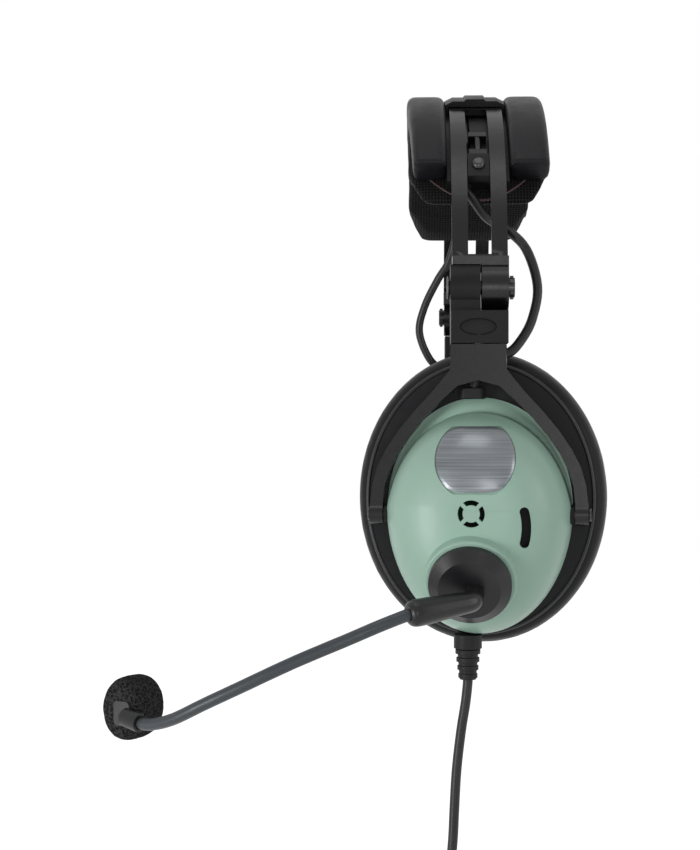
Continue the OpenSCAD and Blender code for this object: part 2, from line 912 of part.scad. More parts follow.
module mic_foam() {
    color("#141414")
        difference() {
            at_mic()
                skin([for (s = [[0.7, -9.5], [0.88, -8.6], [0.98, -6.5], [1, -3], [1, 3],
                    [0.97, 6.2], [0.86, 8.8], [0.66, 10.4], [0.35, 11.2]])
                    [for (i = [0:35])
                        [9.9 * s[0] * cos(i * 10), 11.6 * s[0] * sin(i * 10), s[1]]]]);
            at_mic()
                translate([0, 0, -12])
                    linear_extrude(14.2 + 2 * seat)
                        rounded(11 + 2 * seat, 13 + 2 * seat, 2);
            along(boom_route[len(boom_route) - 2], boom_route[len(boom_route) - 1])
                cylinder(h = 14, r = 3.5);
        }
}

// ---- Leads and main cord ----

module lead_left() {
    color("#1a1a1c")
        tube(smooth_route(lead_left_route, 2), lead_d / 2, 8, [0.3, 1, 0.1]);
}

module lead_right() {
    color("#1a1a1c")
        tube(smooth_route(lead_right_route, 2), lead_d / 2, 8, [0.3, 1, 0.1]);
}

module strain_relief() {
    body_h = relief_at[2] - relief_end;
    color("#1b1b1d")
        translate([relief_at[0], relief_at[1], relief_end]) {
            cylinder(h = body_h, r1 = 3, r2 = 4.3);
            translate([0, 0, body_h - 5])
                cylinder(h = 5, r = 5.1);
            for (i = [0:3])
                translate([0, 0, 0.6 + i * 2.9])
                    cylinder(h = 1.6, r = 3.5 + i * 0.35);
        }
}

module main_cord() {
    color("#161618") {
        tube(cord_route, cord_d / 2, 8, [0, 1, 0]);
        translate(cord_route[0])
            sphere(r = cord_d / 2 + 0.05);
    }
}

module cord_coil() {
    color("#161618")
        translate(coil_at)
            rotate([90, 0, 0])
                rotate_extrude()
                    translate([coil_r, 0])
                        circle(r = coil_tube_r, $fn = 32);
}

module cord_tie() {
    color("#101010")
        translate(coil_at + [coil_r, 0, -2.5])
            difference() {
                cylinder(h = 5, r = coil_tube_r + 1.3);
                translate([0, 0, -1])
                    cylinder(h = 7, r = coil_tube_r + 0.2);
            }
}

module y_splitter() {
    color("#19191b")
        translate([coil_at[0], coil_at[1], splitter_top - splitter_h])
            difference() {
                union() {
                    cylinder(h = splitter_h, r1 = 4.6, r2 = 3.4);
                    for (x = [-1, 1])
                        translate([x * plug_gap / 2, 0, 0])
                            cylinder(h = 7, r = 3.2);
                }
                translate([0, 0, splitter_h - 3])
                    cylinder(h = 5, r = cord_d / 2 + 0.15);
                for (x = [-1, 1])
                    translate([x * plug_gap / 2, 0, -1])
                        cylinder(h = 4, r = cord_d / 2 + 0.15);
            }
}

// Cord from the coil to the splitter, and from the splitter to each plug
module plug_tails() {
    foot = splitter_top - splitter_h;
    color("#161618")
        union() {
            tube([[coil_at[0], coil_at[1], splitter_top + 6], [coil_at[0], coil_at[1], splitter_top - 2.5]],
                cord_d / 2, 8, [0, 1, 0]);
            for (x = [-1, 1])
                tube([[coil_at[0] + x * plug_gap / 2, coil_at[1], foot + 2.5],
                    [coil_at[0] + x * plug_gap / 2, coil_at[1], foot - 1],
                    [coil_at[0] + x * plug_gap, coil_at[1], grip_top + 1],
                    [coil_at[0] + x * plug_gap, coil_at[1], grip_top - 3]], cord_d / 2, 8, [0, 1, 0]);
        }
}

module plug_grips() {
    color("#17171a")
        for (x = [-1, 1])
            translate([coil_at[0] + x * plug_gap, coil_at[1], grip_top - grip_h])
                difference() {
                    union() {
                        cylinder(h = grip_h - 6, r = 6);
                        translate([0, 0, grip_h - 6])
                            cylinder(h = 6, r1 = 6, r2 = 3.4);
                    }
                    translate([0, 0, grip_h - 3.2])
                        cylinder(h = 5, r = cord_d / 2 + 0.15);
                    translate([0, 0, -1])
                        cylinder(h = 7, r = 2.2);
                }
}

// Plug pins: 6.35 mm for the earphones and 5.23 mm for the microphone
module plug_pins() {
    color("#c9b27a")
        for (x = [-1, 1])
            translate([coil_at[0] + x * plug_gap, coil_at[1], grip_top - grip_h]) {
                pin_r = x < 0 ? 5.23 / 2 : 6.35 / 2;
                translate([0, 0, -24])
                    cylinder(h = 24 - seat, r = pin_r);
                translate([0, 0, -seat])
                    cylinder(h = 5, r = 2.15);
                translate([0, 0, -25.2])
                    cylinder(h = 1.2, r = pin_r * 0.72);
                translate([0, 0, -29])
                    cylinder(h = 3.8, r1 = pin_r * 0.5, r2 = pin_r);
            }
}

pad_cushion();
pad_roll(-1);  // pad_roll_front
pad_roll(1);  // pad_roll_rear
pad_spine();
crown_bridge();
crown_screws();
slider_brackets();
slider_screws();
lead_conduits();
crossover_lead();
arm();  // arm_left
turned() arm();  // arm_right
hinge_pin();  // hinge_pin_left
turned() hinge_pin();  // hinge_pin_right
lock_nut();  // lock_nut_left
turned() lock_nut();  // lock_nut_right
hinge_block();  // hinge_block_left
turned() hinge_block();  // hinge_block_right
yoke();  // yoke_left
mirrored() yoke();  // yoke_right
pivot_pins();  // pivot_pins_left
mirrored() pivot_pins();  // pivot_pins_right
cup_shell();  // cup_shell_left
mirrored() cup_shell();  // cup_shell_right
dome();  // dome_left
mirrored() dome();  // dome_right
badge();  // badge_left
mirrored() badge();  // badge_right
ear_seal();  // ear_seal_left
mirrored() ear_seal();  // ear_seal_right
foam_liner();  // foam_liner_left
mirrored() foam_liner();  // foam_liner_right
speaker();  // speaker_left
mirrored() speaker();  // speaker_right
control_board();  // control_board_left
mirrored() control_board();  // control_board_right
dome_screws();  // dome_screws_left
mirrored() dome_screws();  // dome_screws_right
lead_grommet();  // lead_grommet_left
mirrored() lead_grommet();  // lead_grommet_right
volume_wheel();  // volume_wheel_left
mirrored() volume_wheel();  // volume_wheel_right
mirrored() blank_cap();  // blank_cap_right
boom_bush();
boom_hub();
boom_elbow();
boom_tube();
mic_bracket();
mic_capsule();
mic_foam();
lead_left();
lead_right();
strain_relief();
main_cord();
cord_coil();
cord_tie();
y_splitter();
plug_tails();
plug_grips();
plug_pins();
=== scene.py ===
"""Aviation headset: the finished surfaces, soft parts and cords over its fixed frame."""

import json
import math

import bmesh
import bpy
from mathutils import Matrix, Vector


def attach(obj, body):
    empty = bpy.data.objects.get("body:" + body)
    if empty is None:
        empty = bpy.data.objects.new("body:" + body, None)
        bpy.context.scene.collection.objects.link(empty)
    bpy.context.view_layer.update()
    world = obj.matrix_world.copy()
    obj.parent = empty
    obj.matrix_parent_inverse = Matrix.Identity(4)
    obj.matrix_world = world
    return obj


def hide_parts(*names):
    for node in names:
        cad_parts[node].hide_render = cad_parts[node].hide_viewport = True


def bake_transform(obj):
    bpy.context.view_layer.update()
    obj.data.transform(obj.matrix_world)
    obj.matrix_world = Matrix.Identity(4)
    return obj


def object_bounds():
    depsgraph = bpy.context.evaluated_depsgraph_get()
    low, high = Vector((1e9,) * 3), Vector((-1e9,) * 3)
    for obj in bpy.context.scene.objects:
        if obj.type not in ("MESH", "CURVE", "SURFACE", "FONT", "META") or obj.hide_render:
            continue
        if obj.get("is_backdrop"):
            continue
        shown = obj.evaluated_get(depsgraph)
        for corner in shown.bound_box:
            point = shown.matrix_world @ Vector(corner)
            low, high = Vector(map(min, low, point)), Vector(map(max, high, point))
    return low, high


bl_info = {
    "name": "Aviation headset",
    "version": (1, 0, 0),
    "blender": (4, 5, 0),
    "location": "View3D > Sidebar > Headset",
    "description": "Dresses a jointed aviation headset in its finished surfaces and soft parts",
    "category": "Add Mesh",
}

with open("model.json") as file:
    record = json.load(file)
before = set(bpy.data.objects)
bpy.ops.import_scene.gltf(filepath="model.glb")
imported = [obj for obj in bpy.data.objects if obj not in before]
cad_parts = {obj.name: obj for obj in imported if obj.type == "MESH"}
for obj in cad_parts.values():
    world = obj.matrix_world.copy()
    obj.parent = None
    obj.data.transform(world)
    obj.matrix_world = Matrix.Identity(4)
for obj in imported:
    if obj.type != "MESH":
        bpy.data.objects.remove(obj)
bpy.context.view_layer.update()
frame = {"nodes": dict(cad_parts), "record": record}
NODES = frame["nodes"]
BODY_OF_NODE = {
    node: body
    for body, nodes in frame["record"]["behaviour"]["bodies"].items()
    for node in nodes
}

MM = 0.001
SIDES = ("left", "right")
TOE = math.radians(6)
YOKE_Y = 94.5 * MM
SWIVEL_X = -1 * MM
FLANGE_FRONT = 87.5 * MM
CUP_Z = -140.5 * MM
SEAL_Z = -137.5 * MM
HUB_AT = Vector((-1.5, -116.5, -165.9)) * MM
HUB_LEAN = math.radians(114)
COIL_R = 22 * MM
COIL_AT = Vector((-10, -90, -305.8)) * MM
SPLITTER_FOOT = -360.5


# ---- Settings ----


class HeadsetFinish(bpy.types.PropertyGroup):
    """Colours of the headset's visible surfaces"""

    shell_green: bpy.props.FloatVectorProperty(
        name="Shell green",
        description="Colour of both outer shells",
        subtype="COLOR",
        size=3,
        min=0,
        max=1,
        default=(0.345, 0.53, 0.43),
    )
    black_plastic: bpy.props.FloatVectorProperty(
        name="Black plastic",
        description="Colour of the moulded black pieces",
        subtype="COLOR",
        size=3,
        min=0,
        max=1,
        default=(0.006, 0.006, 0.0072),
    )
    leather: bpy.props.FloatVectorProperty(
        name="Leatherette",
        description="Colour of the pad rolls and ear seals",
        subtype="COLOR",
        size=3,
        min=0,
        max=1,
        default=(0.006, 0.006, 0.0075),
    )
    sleeve: bpy.props.FloatVectorProperty(
        name="Boom sleeve",
        description="Colour of the boom's slate sleeve",
        subtype="COLOR",
        size=3,
        min=0,
        max=1,
        default=(0.042, 0.05, 0.058),
    )


class HeadsetSizes(bpy.types.PropertyGroup):
    """Sizes of the pieces that are modelled over the frame"""

    dome_width: bpy.props.FloatProperty(
        name="Shell width",
        description="Width of an outer shell",
        default=67 * MM,
        min=0.06,
        max=0.075,
        subtype="DISTANCE",
        unit="LENGTH",
    )
    dome_up: bpy.props.FloatProperty(
        name="Shell height above",
        description="Height of an outer shell above its widest line",
        default=39.5 * MM,
        subtype="DISTANCE",
        unit="LENGTH",
    )
    dome_down: bpy.props.FloatProperty(
        name="Shell height below",
        description="Height of an outer shell below its widest line",
        default=45.8 * MM,
        subtype="DISTANCE",
        unit="LENGTH",
    )
    dome_deep: bpy.props.FloatProperty(
        name="Shell bulge",
        description="Bulge of an outer shell away from its flange",
        default=31.5 * MM,
        subtype="DISTANCE",
        unit="LENGTH",
    )
    shoulder: bpy.props.FloatProperty(
        name="Shoulder",
        description="Height of the low step round the top of an outer shell",
        default=3 * MM,
        subtype="DISTANCE",
        unit="LENGTH",
    )
    cord: bpy.props.FloatProperty(
        name="Main cord",
        description="Diameter of the main cord",
        default=3.7 * MM,
        subtype="DISTANCE",
        unit="LENGTH",
    )
    lead: bpy.props.FloatProperty(
        name="Leads",
        description="Diameter of the leads from the headband to the cups",
        default=3.6 * MM,
        subtype="DISTANCE",
        unit="LENGTH",
    )


# ---- Shader groups ----


def group(name, inputs, outputs):
    """Empty shader group with named sockets: {name: (kind, default)}."""
    tree = bpy.data.node_groups.new(name, "ShaderNodeTree")
    for label, (kind, default) in inputs.items():
        socket = tree.interface.new_socket(label, in_out="INPUT", socket_type=kind)
        socket.default_value = default
    for label, kind in outputs.items():
        tree.interface.new_socket(label, in_out="OUTPUT", socket_type=kind)
    return tree, tree.nodes.new("NodeGroupInput"), tree.nodes.new("NodeGroupOutput")


def maths(tree, operation, a, b=0.5):
    """Math node whose inputs are sockets or plain numbers; returns its result."""
    node = tree.nodes.new("ShaderNodeMath")
    node.operation = operation
    for socket, value in zip(node.inputs, (a, b)):
        if isinstance(value, bpy.types.NodeSocket):
            tree.links.new(value, socket)
        else:
            socket.default_value = value
    return node.outputs[0]


def spread(tree, value, low, high, to_low=0.0, to_high=1.0):
    """Map Range node: value from low..high to to_low..to_high."""
    node = tree.nodes.new("ShaderNodeMapRange")
    tree.links.new(value, node.inputs["Value"])
    for label, number in (
        ("From Min", low),
        ("From Max", high),
        ("To Min", to_low),
        ("To Max", to_high),
    ):
        if isinstance(number, bpy.types.NodeSocket):
            tree.links.new(number, node.inputs[label])
        else:
            node.inputs[label].default_value = number
    return node.outputs["Result"]


def blend_colours(tree, factor, a, b):
    """Mix of two colours; a and b are sockets or RGBA values."""
    node = tree.nodes.new("ShaderNodeMix")
    node.data_type = "RGBA"
    tree.links.new(factor, node.inputs[0])
    for socket, value in ((node.inputs[6], a), (node.inputs[7], b)):
        if isinstance(value, bpy.types.NodeSocket):
            tree.links.new(value, socket)
        else:
            socket.default_value = value
    return node.outputs[2]


def bump(tree, height, strength, distance):
    node = tree.nodes.new("ShaderNodeBump")
    node.inputs["Distance"].default_value = distance
    tree.links.new(height, node.inputs["Height"])
    if isinstance(strength, bpy.types.NodeSocket):
        tree.links.new(strength, node.inputs["Strength"])
    else:
        node.inputs["Strength"].default_value = strength
    return node.outputs["Normal"]


def object_noise(tree, scale, detail=3.0, rough=0.5):
    """Noise over the piece's own coordinates; scale is a socket or a number."""
    place = tree.nodes.new("ShaderNodeTexCoord")
    node = tree.nodes.new("ShaderNodeTexNoise")
    node.inputs["Detail"].default_value = detail
    node.inputs["Roughness"].default_value = rough
    tree.links.new(place.outputs["Object"], node.inputs["Vector"])
    if isinstance(scale, bpy.types.NodeSocket):
        tree.links.new(scale, node.inputs["Scale"])
    else:
        node.inputs["Scale"].default_value = scale
    return node.outputs["Fac"]


def moulded_grain_group():
    """Fine moulded grain with soft changes of colour and shine."""
    tree, given, out = group(
        "Moulded grain",
        {
            "Colour": ("NodeSocketColor", (0.02, 0.02, 0.02, 1)),
            "Scale": ("NodeSocketFloat", 1800.0),
            "Depth": ("NodeSocketFloat", 0.25),
            "Shine": ("NodeSocketFloat", 0.45),
        },
        {
            "Colour": "NodeSocketColor",
            "Roughness": "NodeSocketFloat",
            "Normal": "NodeSocketVector",
        },
    )
    fine = object_noise(tree, given.outputs["Scale"], 2.0)
    broad = object_noise(tree, 45.0, 4.0, 0.6)
    tint = blend_colours(
        tree, spread(tree, broad, 0.3, 0.75, 0.0, 0.06), given.outputs["Colour"], (0.2, 0.2, 0.2, 1)
    )
    low = maths(tree, "SUBTRACT", given.outputs["Shine"], 0.05)
    high = maths(tree, "ADD", given.outputs["Shine"], 0.07)
    tree.links.new(tint, out.inputs["Colour"])
    tree.links.new(spread(tree, broad, 0.3, 0.7, low, high), out.inputs["Roughness"])
    tree.links.new(bump(tree, fine, given.outputs["Depth"], 0.00008), out.inputs["Normal"])
    return tree


def hide_group():
    """Pebbled skin with fine creases, for leather and leatherette."""
    tree, given, out = group(
        "Pebbled skin",
        {
            "Colour": ("NodeSocketColor", (0.02, 0.02, 0.02, 1)),
            "Scale": ("NodeSocketFloat", 900.0),
            "Depth": ("NodeSocketFloat", 0.4),
        },
        {
            "Colour": "NodeSocketColor",
            "Roughness": "NodeSocketFloat",
            "Normal": "NodeSocketVector",
        },
    )
    place = tree.nodes.new("ShaderNodeTexCoord")
    cells = tree.nodes.new("ShaderNodeTexVoronoi")
    cells.feature = "DISTANCE_TO_EDGE"
    tree.links.new(place.outputs["Object"], cells.inputs["Vector"])
    tree.links.new(given.outputs["Scale"], cells.inputs["Scale"])
    pebble = spread(tree, cells.outputs["Distance"], 0.0, 0.25)
    crease = object_noise(tree, 120.0, 5.0, 0.65)
    height = maths(tree, "ADD", maths(tree, "MULTIPLY", pebble, 0.5), maths(tree, "MULTIPLY", crease, 0.9))
    tint = blend_colours(
        tree, spread(tree, crease, 0.35, 0.75, 0.0, 0.15), given.outputs["Colour"], (0.04, 0.04, 0.045, 1)
    )
    tree.links.new(tint, out.inputs["Colour"])
    tree.links.new(spread(tree, crease, 0.3, 0.7, 0.36, 0.5), out.inputs["Roughness"])
    tree.links.new(bump(tree, height, given.outputs["Depth"], 0.00015), out.inputs["Normal"])
    return tree


def weave_group():
    """Open mesh fabric: crossing threads with holes between them, the holes painted near-black as painted shade inside
    the openings.
    """
    tree, given, out = group(
        "Mesh weave",
        {
            "Thread": ("NodeSocketColor", (0.03, 0.03, 0.03, 1)),
            "Hole": ("NodeSocketColor", (0.004, 0.004, 0.004, 1)),
            "Pitch": ("NodeSocketFloat", 620.0),
        },
        {
            "Colour": "NodeSocketColor",
            "Roughness": "NodeSocketFloat",
            "Normal": "NodeSocketVector",
        },
    )
    place = tree.nodes.new("ShaderNodeTexCoord")
    split = tree.nodes.new("ShaderNodeSeparateXYZ")
    tree.links.new(place.outputs["Object"], split.inputs[0])
    angle = maths(tree, "ARCTAN2", split.outputs["Y"], maths(tree, "ADD", split.outputs["Z"], 0.061))
    around = maths(tree, "MULTIPLY", angle, 0.065)
    waves = []
    for value in (split.outputs["X"], around):
        turns = maths(tree, "MULTIPLY", value, maths(tree, "MULTIPLY", given.outputs["Pitch"], 2 * math.pi))
        waves.append(maths(tree, "ABSOLUTE", maths(tree, "SINE", turns)))
    height = maths(tree, "MULTIPLY", waves[0], waves[1])
    mask = spread(tree, height, 0.25, 0.7, 1.0, 0.0)
    # Painted shade: the low holes take the near-black Hole colour, the raised threads the Thread colour.
    tint = blend_colours(tree, mask, given.outputs["Hole"], given.outputs["Thread"])
    tree.links.new(tint, out.inputs["Colour"])
    tree.links.new(spread(tree, mask, 0.0, 1.0, 0.95, 0.7), out.inputs["Roughness"])
    tree.links.new(bump(tree, mask, 0.7, 0.0003), out.inputs["Normal"])
    return tree


def wear_group():
    """Coated metal with small bright scuffs and a fine satin texture."""
    tree, given, out = group(
        "Worn coat",
        {
            "Coat": ("NodeSocketColor", (0.015, 0.015, 0.016, 1)),
            "Bare": ("NodeSocketColor", (0.3, 0.3, 0.31, 1)),
            "Wear": ("NodeSocketFloat", 0.3),
        },
        {
            "Colour": "NodeSocketColor",
            "Roughness": "NodeSocketFloat",
            "Metallic": "NodeSocketFloat",
            "Normal": "NodeSocketVector",
        },
    )
    scuff = object_noise(tree, 260.0, 6.0, 0.7)
    fine = object_noise(tree, 2600.0, 2.0)
    edge = maths(tree, "SUBTRACT", 0.86, maths(tree, "MULTIPLY", given.outputs["Wear"], 0.2))
    mask = spread(tree, scuff, edge, 0.9)
    tree.links.new(
        blend_colours(tree, mask, given.outputs["Coat"], given.outputs["Bare"]), out.inputs["Colour"]
    )
    tree.links.new(mask, out.inputs["Metallic"])
    tree.links.new(spread(tree, scuff, 0.3, 0.8, 0.24, 0.36), out.inputs["Roughness"])
    tree.links.new(bump(tree, fine, 0.2, 0.00005), out.inputs["Normal"])
    return tree


def pores_group():
    """Open foam: deep irregular pores, the pits painted darker than the ridges between them as painted shade."""
    tree, given, out = group(
        "Foam pores",
        {
            "Colour": ("NodeSocketColor", (0.02, 0.02, 0.02, 1)),
            "Scale": ("NodeSocketFloat", 900.0),
        },
        {
            "Colour": "NodeSocketColor",
            "Roughness": "NodeSocketFloat",
            "Normal": "NodeSocketVector",
        },
    )
    place = tree.nodes.new("ShaderNodeTexCoord")
    cells = tree.nodes.new("ShaderNodeTexVoronoi")
    tree.links.new(place.outputs["Object"], cells.inputs["Vector"])
    tree.links.new(given.outputs["Scale"], cells.inputs["Scale"])
    pits = spread(tree, cells.outputs["Distance"], 0.1, 0.6)
    clumps = object_noise(tree, 330.0, 4.0, 0.7)
    height = maths(tree, "ADD", pits, maths(tree, "MULTIPLY", clumps, 1.5))
    # Painted shade: the pits take the dark Colour, the ridges between them the lighter grey.
    tint = blend_colours(tree, pits, given.outputs["Colour"], (0.05, 0.05, 0.052, 1))
    tree.links.new(tint, out.inputs["Colour"])
    tree.links.new(spread(tree, clumps, 0.3, 0.7, 0.9, 1.0), out.inputs["Roughness"])
    tree.links.new(bump(tree, height, 0.9, 0.0007), out.inputs["Normal"])
    return tree


GROUPS = {}
GROUP_MAKERS = {
    "grain": moulded_grain_group,
    "skin": hide_group,
    "weave": weave_group,
    "wear": wear_group,
    "pores": pores_group,
}


def finish_material(name, effect, settings, **shader):
    """Material that feeds one effect group into a Principled shader."""
    if name in bpy.data.materials:
        return bpy.data.materials[name]
    if effect not in GROUPS:
        GROUPS[effect] = GROUP_MAKERS[effect]()
    material = bpy.data.materials.new(name)
    material.use_nodes = True
    tree = material.node_tree
    surface = tree.nodes["Principled BSDF"]
    node = tree.nodes.new("ShaderNodeGroup")
    node.node_tree = GROUPS[effect]
    for label, value in settings.items():
        node.inputs[label].default_value = value
    for label, target in (
        ("Colour", "Base Color"),
        ("Roughness", "Roughness"),
        ("Metallic", "Metallic"),
        ("Normal", "Normal"),
    ):
        if label in node.outputs:
            tree.links.new(node.outputs[label], surface.inputs[target])
    for label, value in shader.items():
        surface.inputs[label.replace("_", " ")].default_value = value
    return material


def rgba(colour, k=1.0):
    return (colour[0] * k, colour[1] * k, colour[2] * k, 1.0)


def finish():
    return bpy.context.scene.headset_finish


def sizes():
    return bpy.context.scene.headset_sizes


def black_plastic():
    return finish_material(
        "black plastic",
        "grain",
        {"Colour": rgba(finish().black_plastic), "Scale": 2400.0, "Depth": 0.3, "Shine": 0.44},
        Specular_IOR_Level=0.13,
    )


def gloss_plastic():
    return finish_material(
        "hub plastic",
        "grain",
        {"Colour": rgba(finish().black_plastic), "Scale": 1500.0, "Depth": 0.16, "Shine": 0.32},
        Specular_IOR_Level=0.3,
    )


def green_shell():
    return finish_material(
        "sea green shell",
        "grain",
        {"Colour": rgba(finish().shell_green), "Scale": 3000.0, "Depth": 0.12, "Shine": 0.42},
    )


def coated_metal():
    return finish_material(
        "coated metal",
        "wear",
        {"Coat": rgba(finish().black_plastic, 0.4), "Bare": (0.1, 0.1, 0.105, 1), "Wear": 0.2},
        Specular_IOR_Level=0.32,
    )


def plated_steel():
    return finish_material(
        "dark plated steel",
        "wear",
        {"Coat": (0.02, 0.02, 0.021, 1), "Bare": (0.25, 0.25, 0.26, 1), "Wear": 0.9},
        Specular_IOR_Level=0.5,
    )


def leatherette():
    return finish_material(
        "leatherette",
        "skin",
        {"Colour": rgba(finish().leather), "Scale": 1300.0, "Depth": 0.3},
        Specular_IOR_Level=0.15,
    )


def seal_skin():
    return finish_material(
        "ear seal skin",
        "skin",
        {"Colour": rgba(finish().leather, 0.85), "Scale": 1700.0, "Depth": 0.22},
        Specular_IOR_Level=0.13,
    )


def mesh_fabric():
    return finish_material(
        "mesh fabric",
        "weave",
        # The Hole colour is painted shade inside the mesh openings.
        {"Thread": (0.016, 0.015, 0.016, 1), "Hole": (0.003, 0.003, 0.003, 1), "Pitch": 420.0},
        Specular_IOR_Level=0.1,
    )


def piping_cord():
    return finish_material(
        "piping", "grain", {"Colour": (0.05, 0.02, 0.022, 1), "Scale": 1500.0, "Depth": 0.4, "Shine": 0.6}
    )


def soft_rubber():
    return finish_material(
        "soft rubber",
        "grain",
        {"Colour": rgba(finish().black_plastic, 0.9), "Scale": 1200.0, "Depth": 0.3, "Shine": 0.5},
        Specular_IOR_Level=0.2,
    )


def cord_jacket():
    return finish_material(
        "cord jacket",
        "grain",
        {"Colour": rgba(finish().black_plastic, 1.2), "Scale": 900.0, "Depth": 0.15, "Shine": 0.38},
        Specular_IOR_Level=0.3,
    )


def boom_sleeve():
    return finish_material(
        "boom sleeve",
        "grain",
        {"Colour": rgba(finish().sleeve), "Scale": 1500.0, "Depth": 0.22, "Shine": 0.36},
        Specular_IOR_Level=0.35,
    )


def open_foam():
    return finish_material(
        # Its Colour is the painted shade in the pits; the ridges between them are painted lighter.
        "open foam", "pores", {"Colour": (0.004, 0.004, 0.0042, 1), "Scale": 1100.0}, Specular_IOR_Level=0.05
    )


def board_green():
    return finish_material(
        "board", "grain", {"Colour": (0.01, 0.1, 0.04, 1), "Scale": 700.0, "Depth": 0.2, "Shine": 0.35}
    )


def nylon():
    return finish_material(
        "nylon", "grain", {"Colour": (0.6, 0.57, 0.48, 1), "Scale": 900.0, "Depth": 0.2, "Shine": 0.4}
    )


def contact_brass():
    return finish_material(
        "contact brass",
        "wear",
        {"Coat": (0.62, 0.42, 0.16, 1), "Bare": (0.8, 0.6, 0.3, 1), "Wear": 0.6},
        IOR=1.8,
    )


def brushed_badge():
    """Brushed plate under a clear coat: fine level streaks with broad light and dark bands."""
    name = "brushed badge"
    if name in bpy.data.materials:
        return bpy.data.materials[name]
    material = bpy.data.materials.new(name)
    material.use_nodes = True
    tree = material.node_tree
    surface = tree.nodes["Principled BSDF"]
    place = tree.nodes.new("ShaderNodeTexCoord")
    stretch = tree.nodes.new("ShaderNodeMapping")
    stretch.inputs["Scale"].default_value = (18.0, 18.0, 2600.0)
    tree.links.new(place.outputs["Object"], stretch.inputs["Vector"])
    streaks = tree.nodes.new("ShaderNodeTexNoise")
    streaks.inputs["Scale"].default_value = 1.0
    streaks.inputs["Detail"].default_value = 4.0
    tree.links.new(stretch.outputs["Vector"], streaks.inputs["Vector"])
    tint = blend_colours(
        tree,
        spread(tree, streaks.outputs["Fac"], 0.3, 0.7),
        (0.1, 0.11, 0.12, 1),
        (0.22, 0.24, 0.255, 1),
    )
    tree.links.new(tint, surface.inputs["Base Color"])
    tree.links.new(
        spread(tree, streaks.outputs["Fac"], 0.3, 0.7, 0.3, 0.46), surface.inputs["Roughness"]
    )
    surface.inputs["Metallic"].default_value = 0.85
    surface.inputs["Coat Weight"].default_value = 0.6
    surface.inputs["Coat Roughness"].default_value = 0.18
    return material


# ---- Mesh helpers ----


def select_only(obj):
    bpy.ops.object.select_all(action="DESELECT")
    bpy.context.view_layer.objects.active = obj
    obj.select_set(True)


def apply_modifier(obj, kind, **settings):
    select_only(obj)
    modifier = obj.modifiers.new(kind.lower(), kind)
    for label, value in settings.items():
        setattr(modifier, label, value)
    bpy.ops.object.modifier_apply(modifier=modifier.name)


def settle(obj):
    """Moves the object's place into its mesh."""
    select_only(obj)
    bpy.ops.object.transform_apply(location=True, rotation=True, scale=True)


def paint(obj, material):
    obj.data.materials.clear()
    obj.data.materials.append(material)


def added(name):
    """The primitive that was just added, renamed."""
    obj = bpy.context.view_layer.objects.active
    obj.name = name
    obj.data.name = name
    return obj


def copy_of(node, name):
    """Merged copy of a frame node, as a new piece."""
    obj = NODES[node].copy()
    obj.data = NODES[node].data.copy()
    obj.name = name
    for parent in list(obj.users_collection):
        parent.objects.unlink(obj)
    bpy.context.scene.collection.objects.link(obj)
    obj.parent = None
    obj.matrix_world = Matrix.Identity(4)
    obj.hide_render = False
    select_only(obj)
    bpy.ops.object.mode_set(mode="EDIT")
    bpy.ops.mesh.select_all(action="SELECT")
    bpy.ops.mesh.remove_doubles(threshold=0.000004)
    bpy.ops.object.mode_set(mode="OBJECT")
    return obj


def broken_edges(node, material, width=0.35 * MM, segments=2, angle=28, shape=None):
    """Copy of a hard frame node with its sharp edges rounded over."""
    obj = copy_of(node, node + "_finished")
    if shape:
        for vertex in obj.data.vertices:
            shape(vertex.co)
    bpy.ops.object.mode_set(mode="EDIT")
    bpy.ops.mesh.select_all(action="SELECT")
    bpy.ops.mesh.dissolve_limited(angle_limit=math.radians(0.3))
    bpy.ops.object.mode_set(mode="OBJECT")
    apply_modifier(
        obj,
        "BEVEL",
        width=width,
        segments=segments,
        limit_method="ANGLE",
        angle_limit=math.radians(angle),
        use_clamp_overlap=True,
        miter_outer="MITER_ARC",
    )
    select_only(obj)
    bpy.ops.object.shade_smooth_by_angle(angle=math.radians(42))
    apply_modifier(obj, "WEIGHTED_NORMAL", keep_sharp=True, weight=80)
    paint(obj, material)
    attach(obj, BODY_OF_NODE[node])
    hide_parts(node)
    return obj


def soft_copy(node, name, voxel, rounds, inflate=0.0, cap=2.0 * MM):
    """Remeshed, smoothed and, for cloth, gently inflated copy of a soft frame node."""
    obj = copy_of(node, name)
    apply_modifier(obj, "REMESH", mode="VOXEL", voxel_size=voxel)
    apply_modifier(obj, "SMOOTH", factor=0.5, iterations=rounds)
    if inflate:
        puff(obj, inflate, cap)
    return obj


def puff(obj, pressure, cap):
    """Cloth under pressure, stepped to frame 20; no point moves further than cap."""
    select_only(obj)
    start = [v.co.copy() for v in obj.data.vertices]
    cloth = obj.modifiers.new("cloth", "CLOTH")
    cloth.settings.use_pressure = True
    cloth.settings.uniform_pressure_force = pressure
    cloth.settings.effector_weights.gravity = 0.0
    cloth.settings.quality = 4
    cloth.point_cache.frame_start = 1
    cloth.point_cache.frame_end = 20
    for number in range(1, 21):
        bpy.context.scene.frame_set(number)
    bpy.ops.object.modifier_apply(modifier=cloth.name)
    for vertex, before in zip(obj.data.vertices, start):
        moved = vertex.co - before
        if moved.length > cap:
            vertex.co = before + moved * (cap / moved.length)
    bpy.context.scene.frame_set(1)


def toed(point, side="left"):
    """A left cup's own point, turned to the front about the swivel; the right cup is its mirror."""
    x = point[0] * math.cos(TOE) + (point[1] + YOKE_Y) * math.sin(TOE) + SWIVEL_X
    y = (point[1] + YOKE_Y) * math.cos(TOE) - point[0] * math.sin(TOE) - YOKE_Y
    if side == "right":
        return Vector((x - 2 * SWIVEL_X, -y, point[2]))
    return Vector((x, y, point[2]))


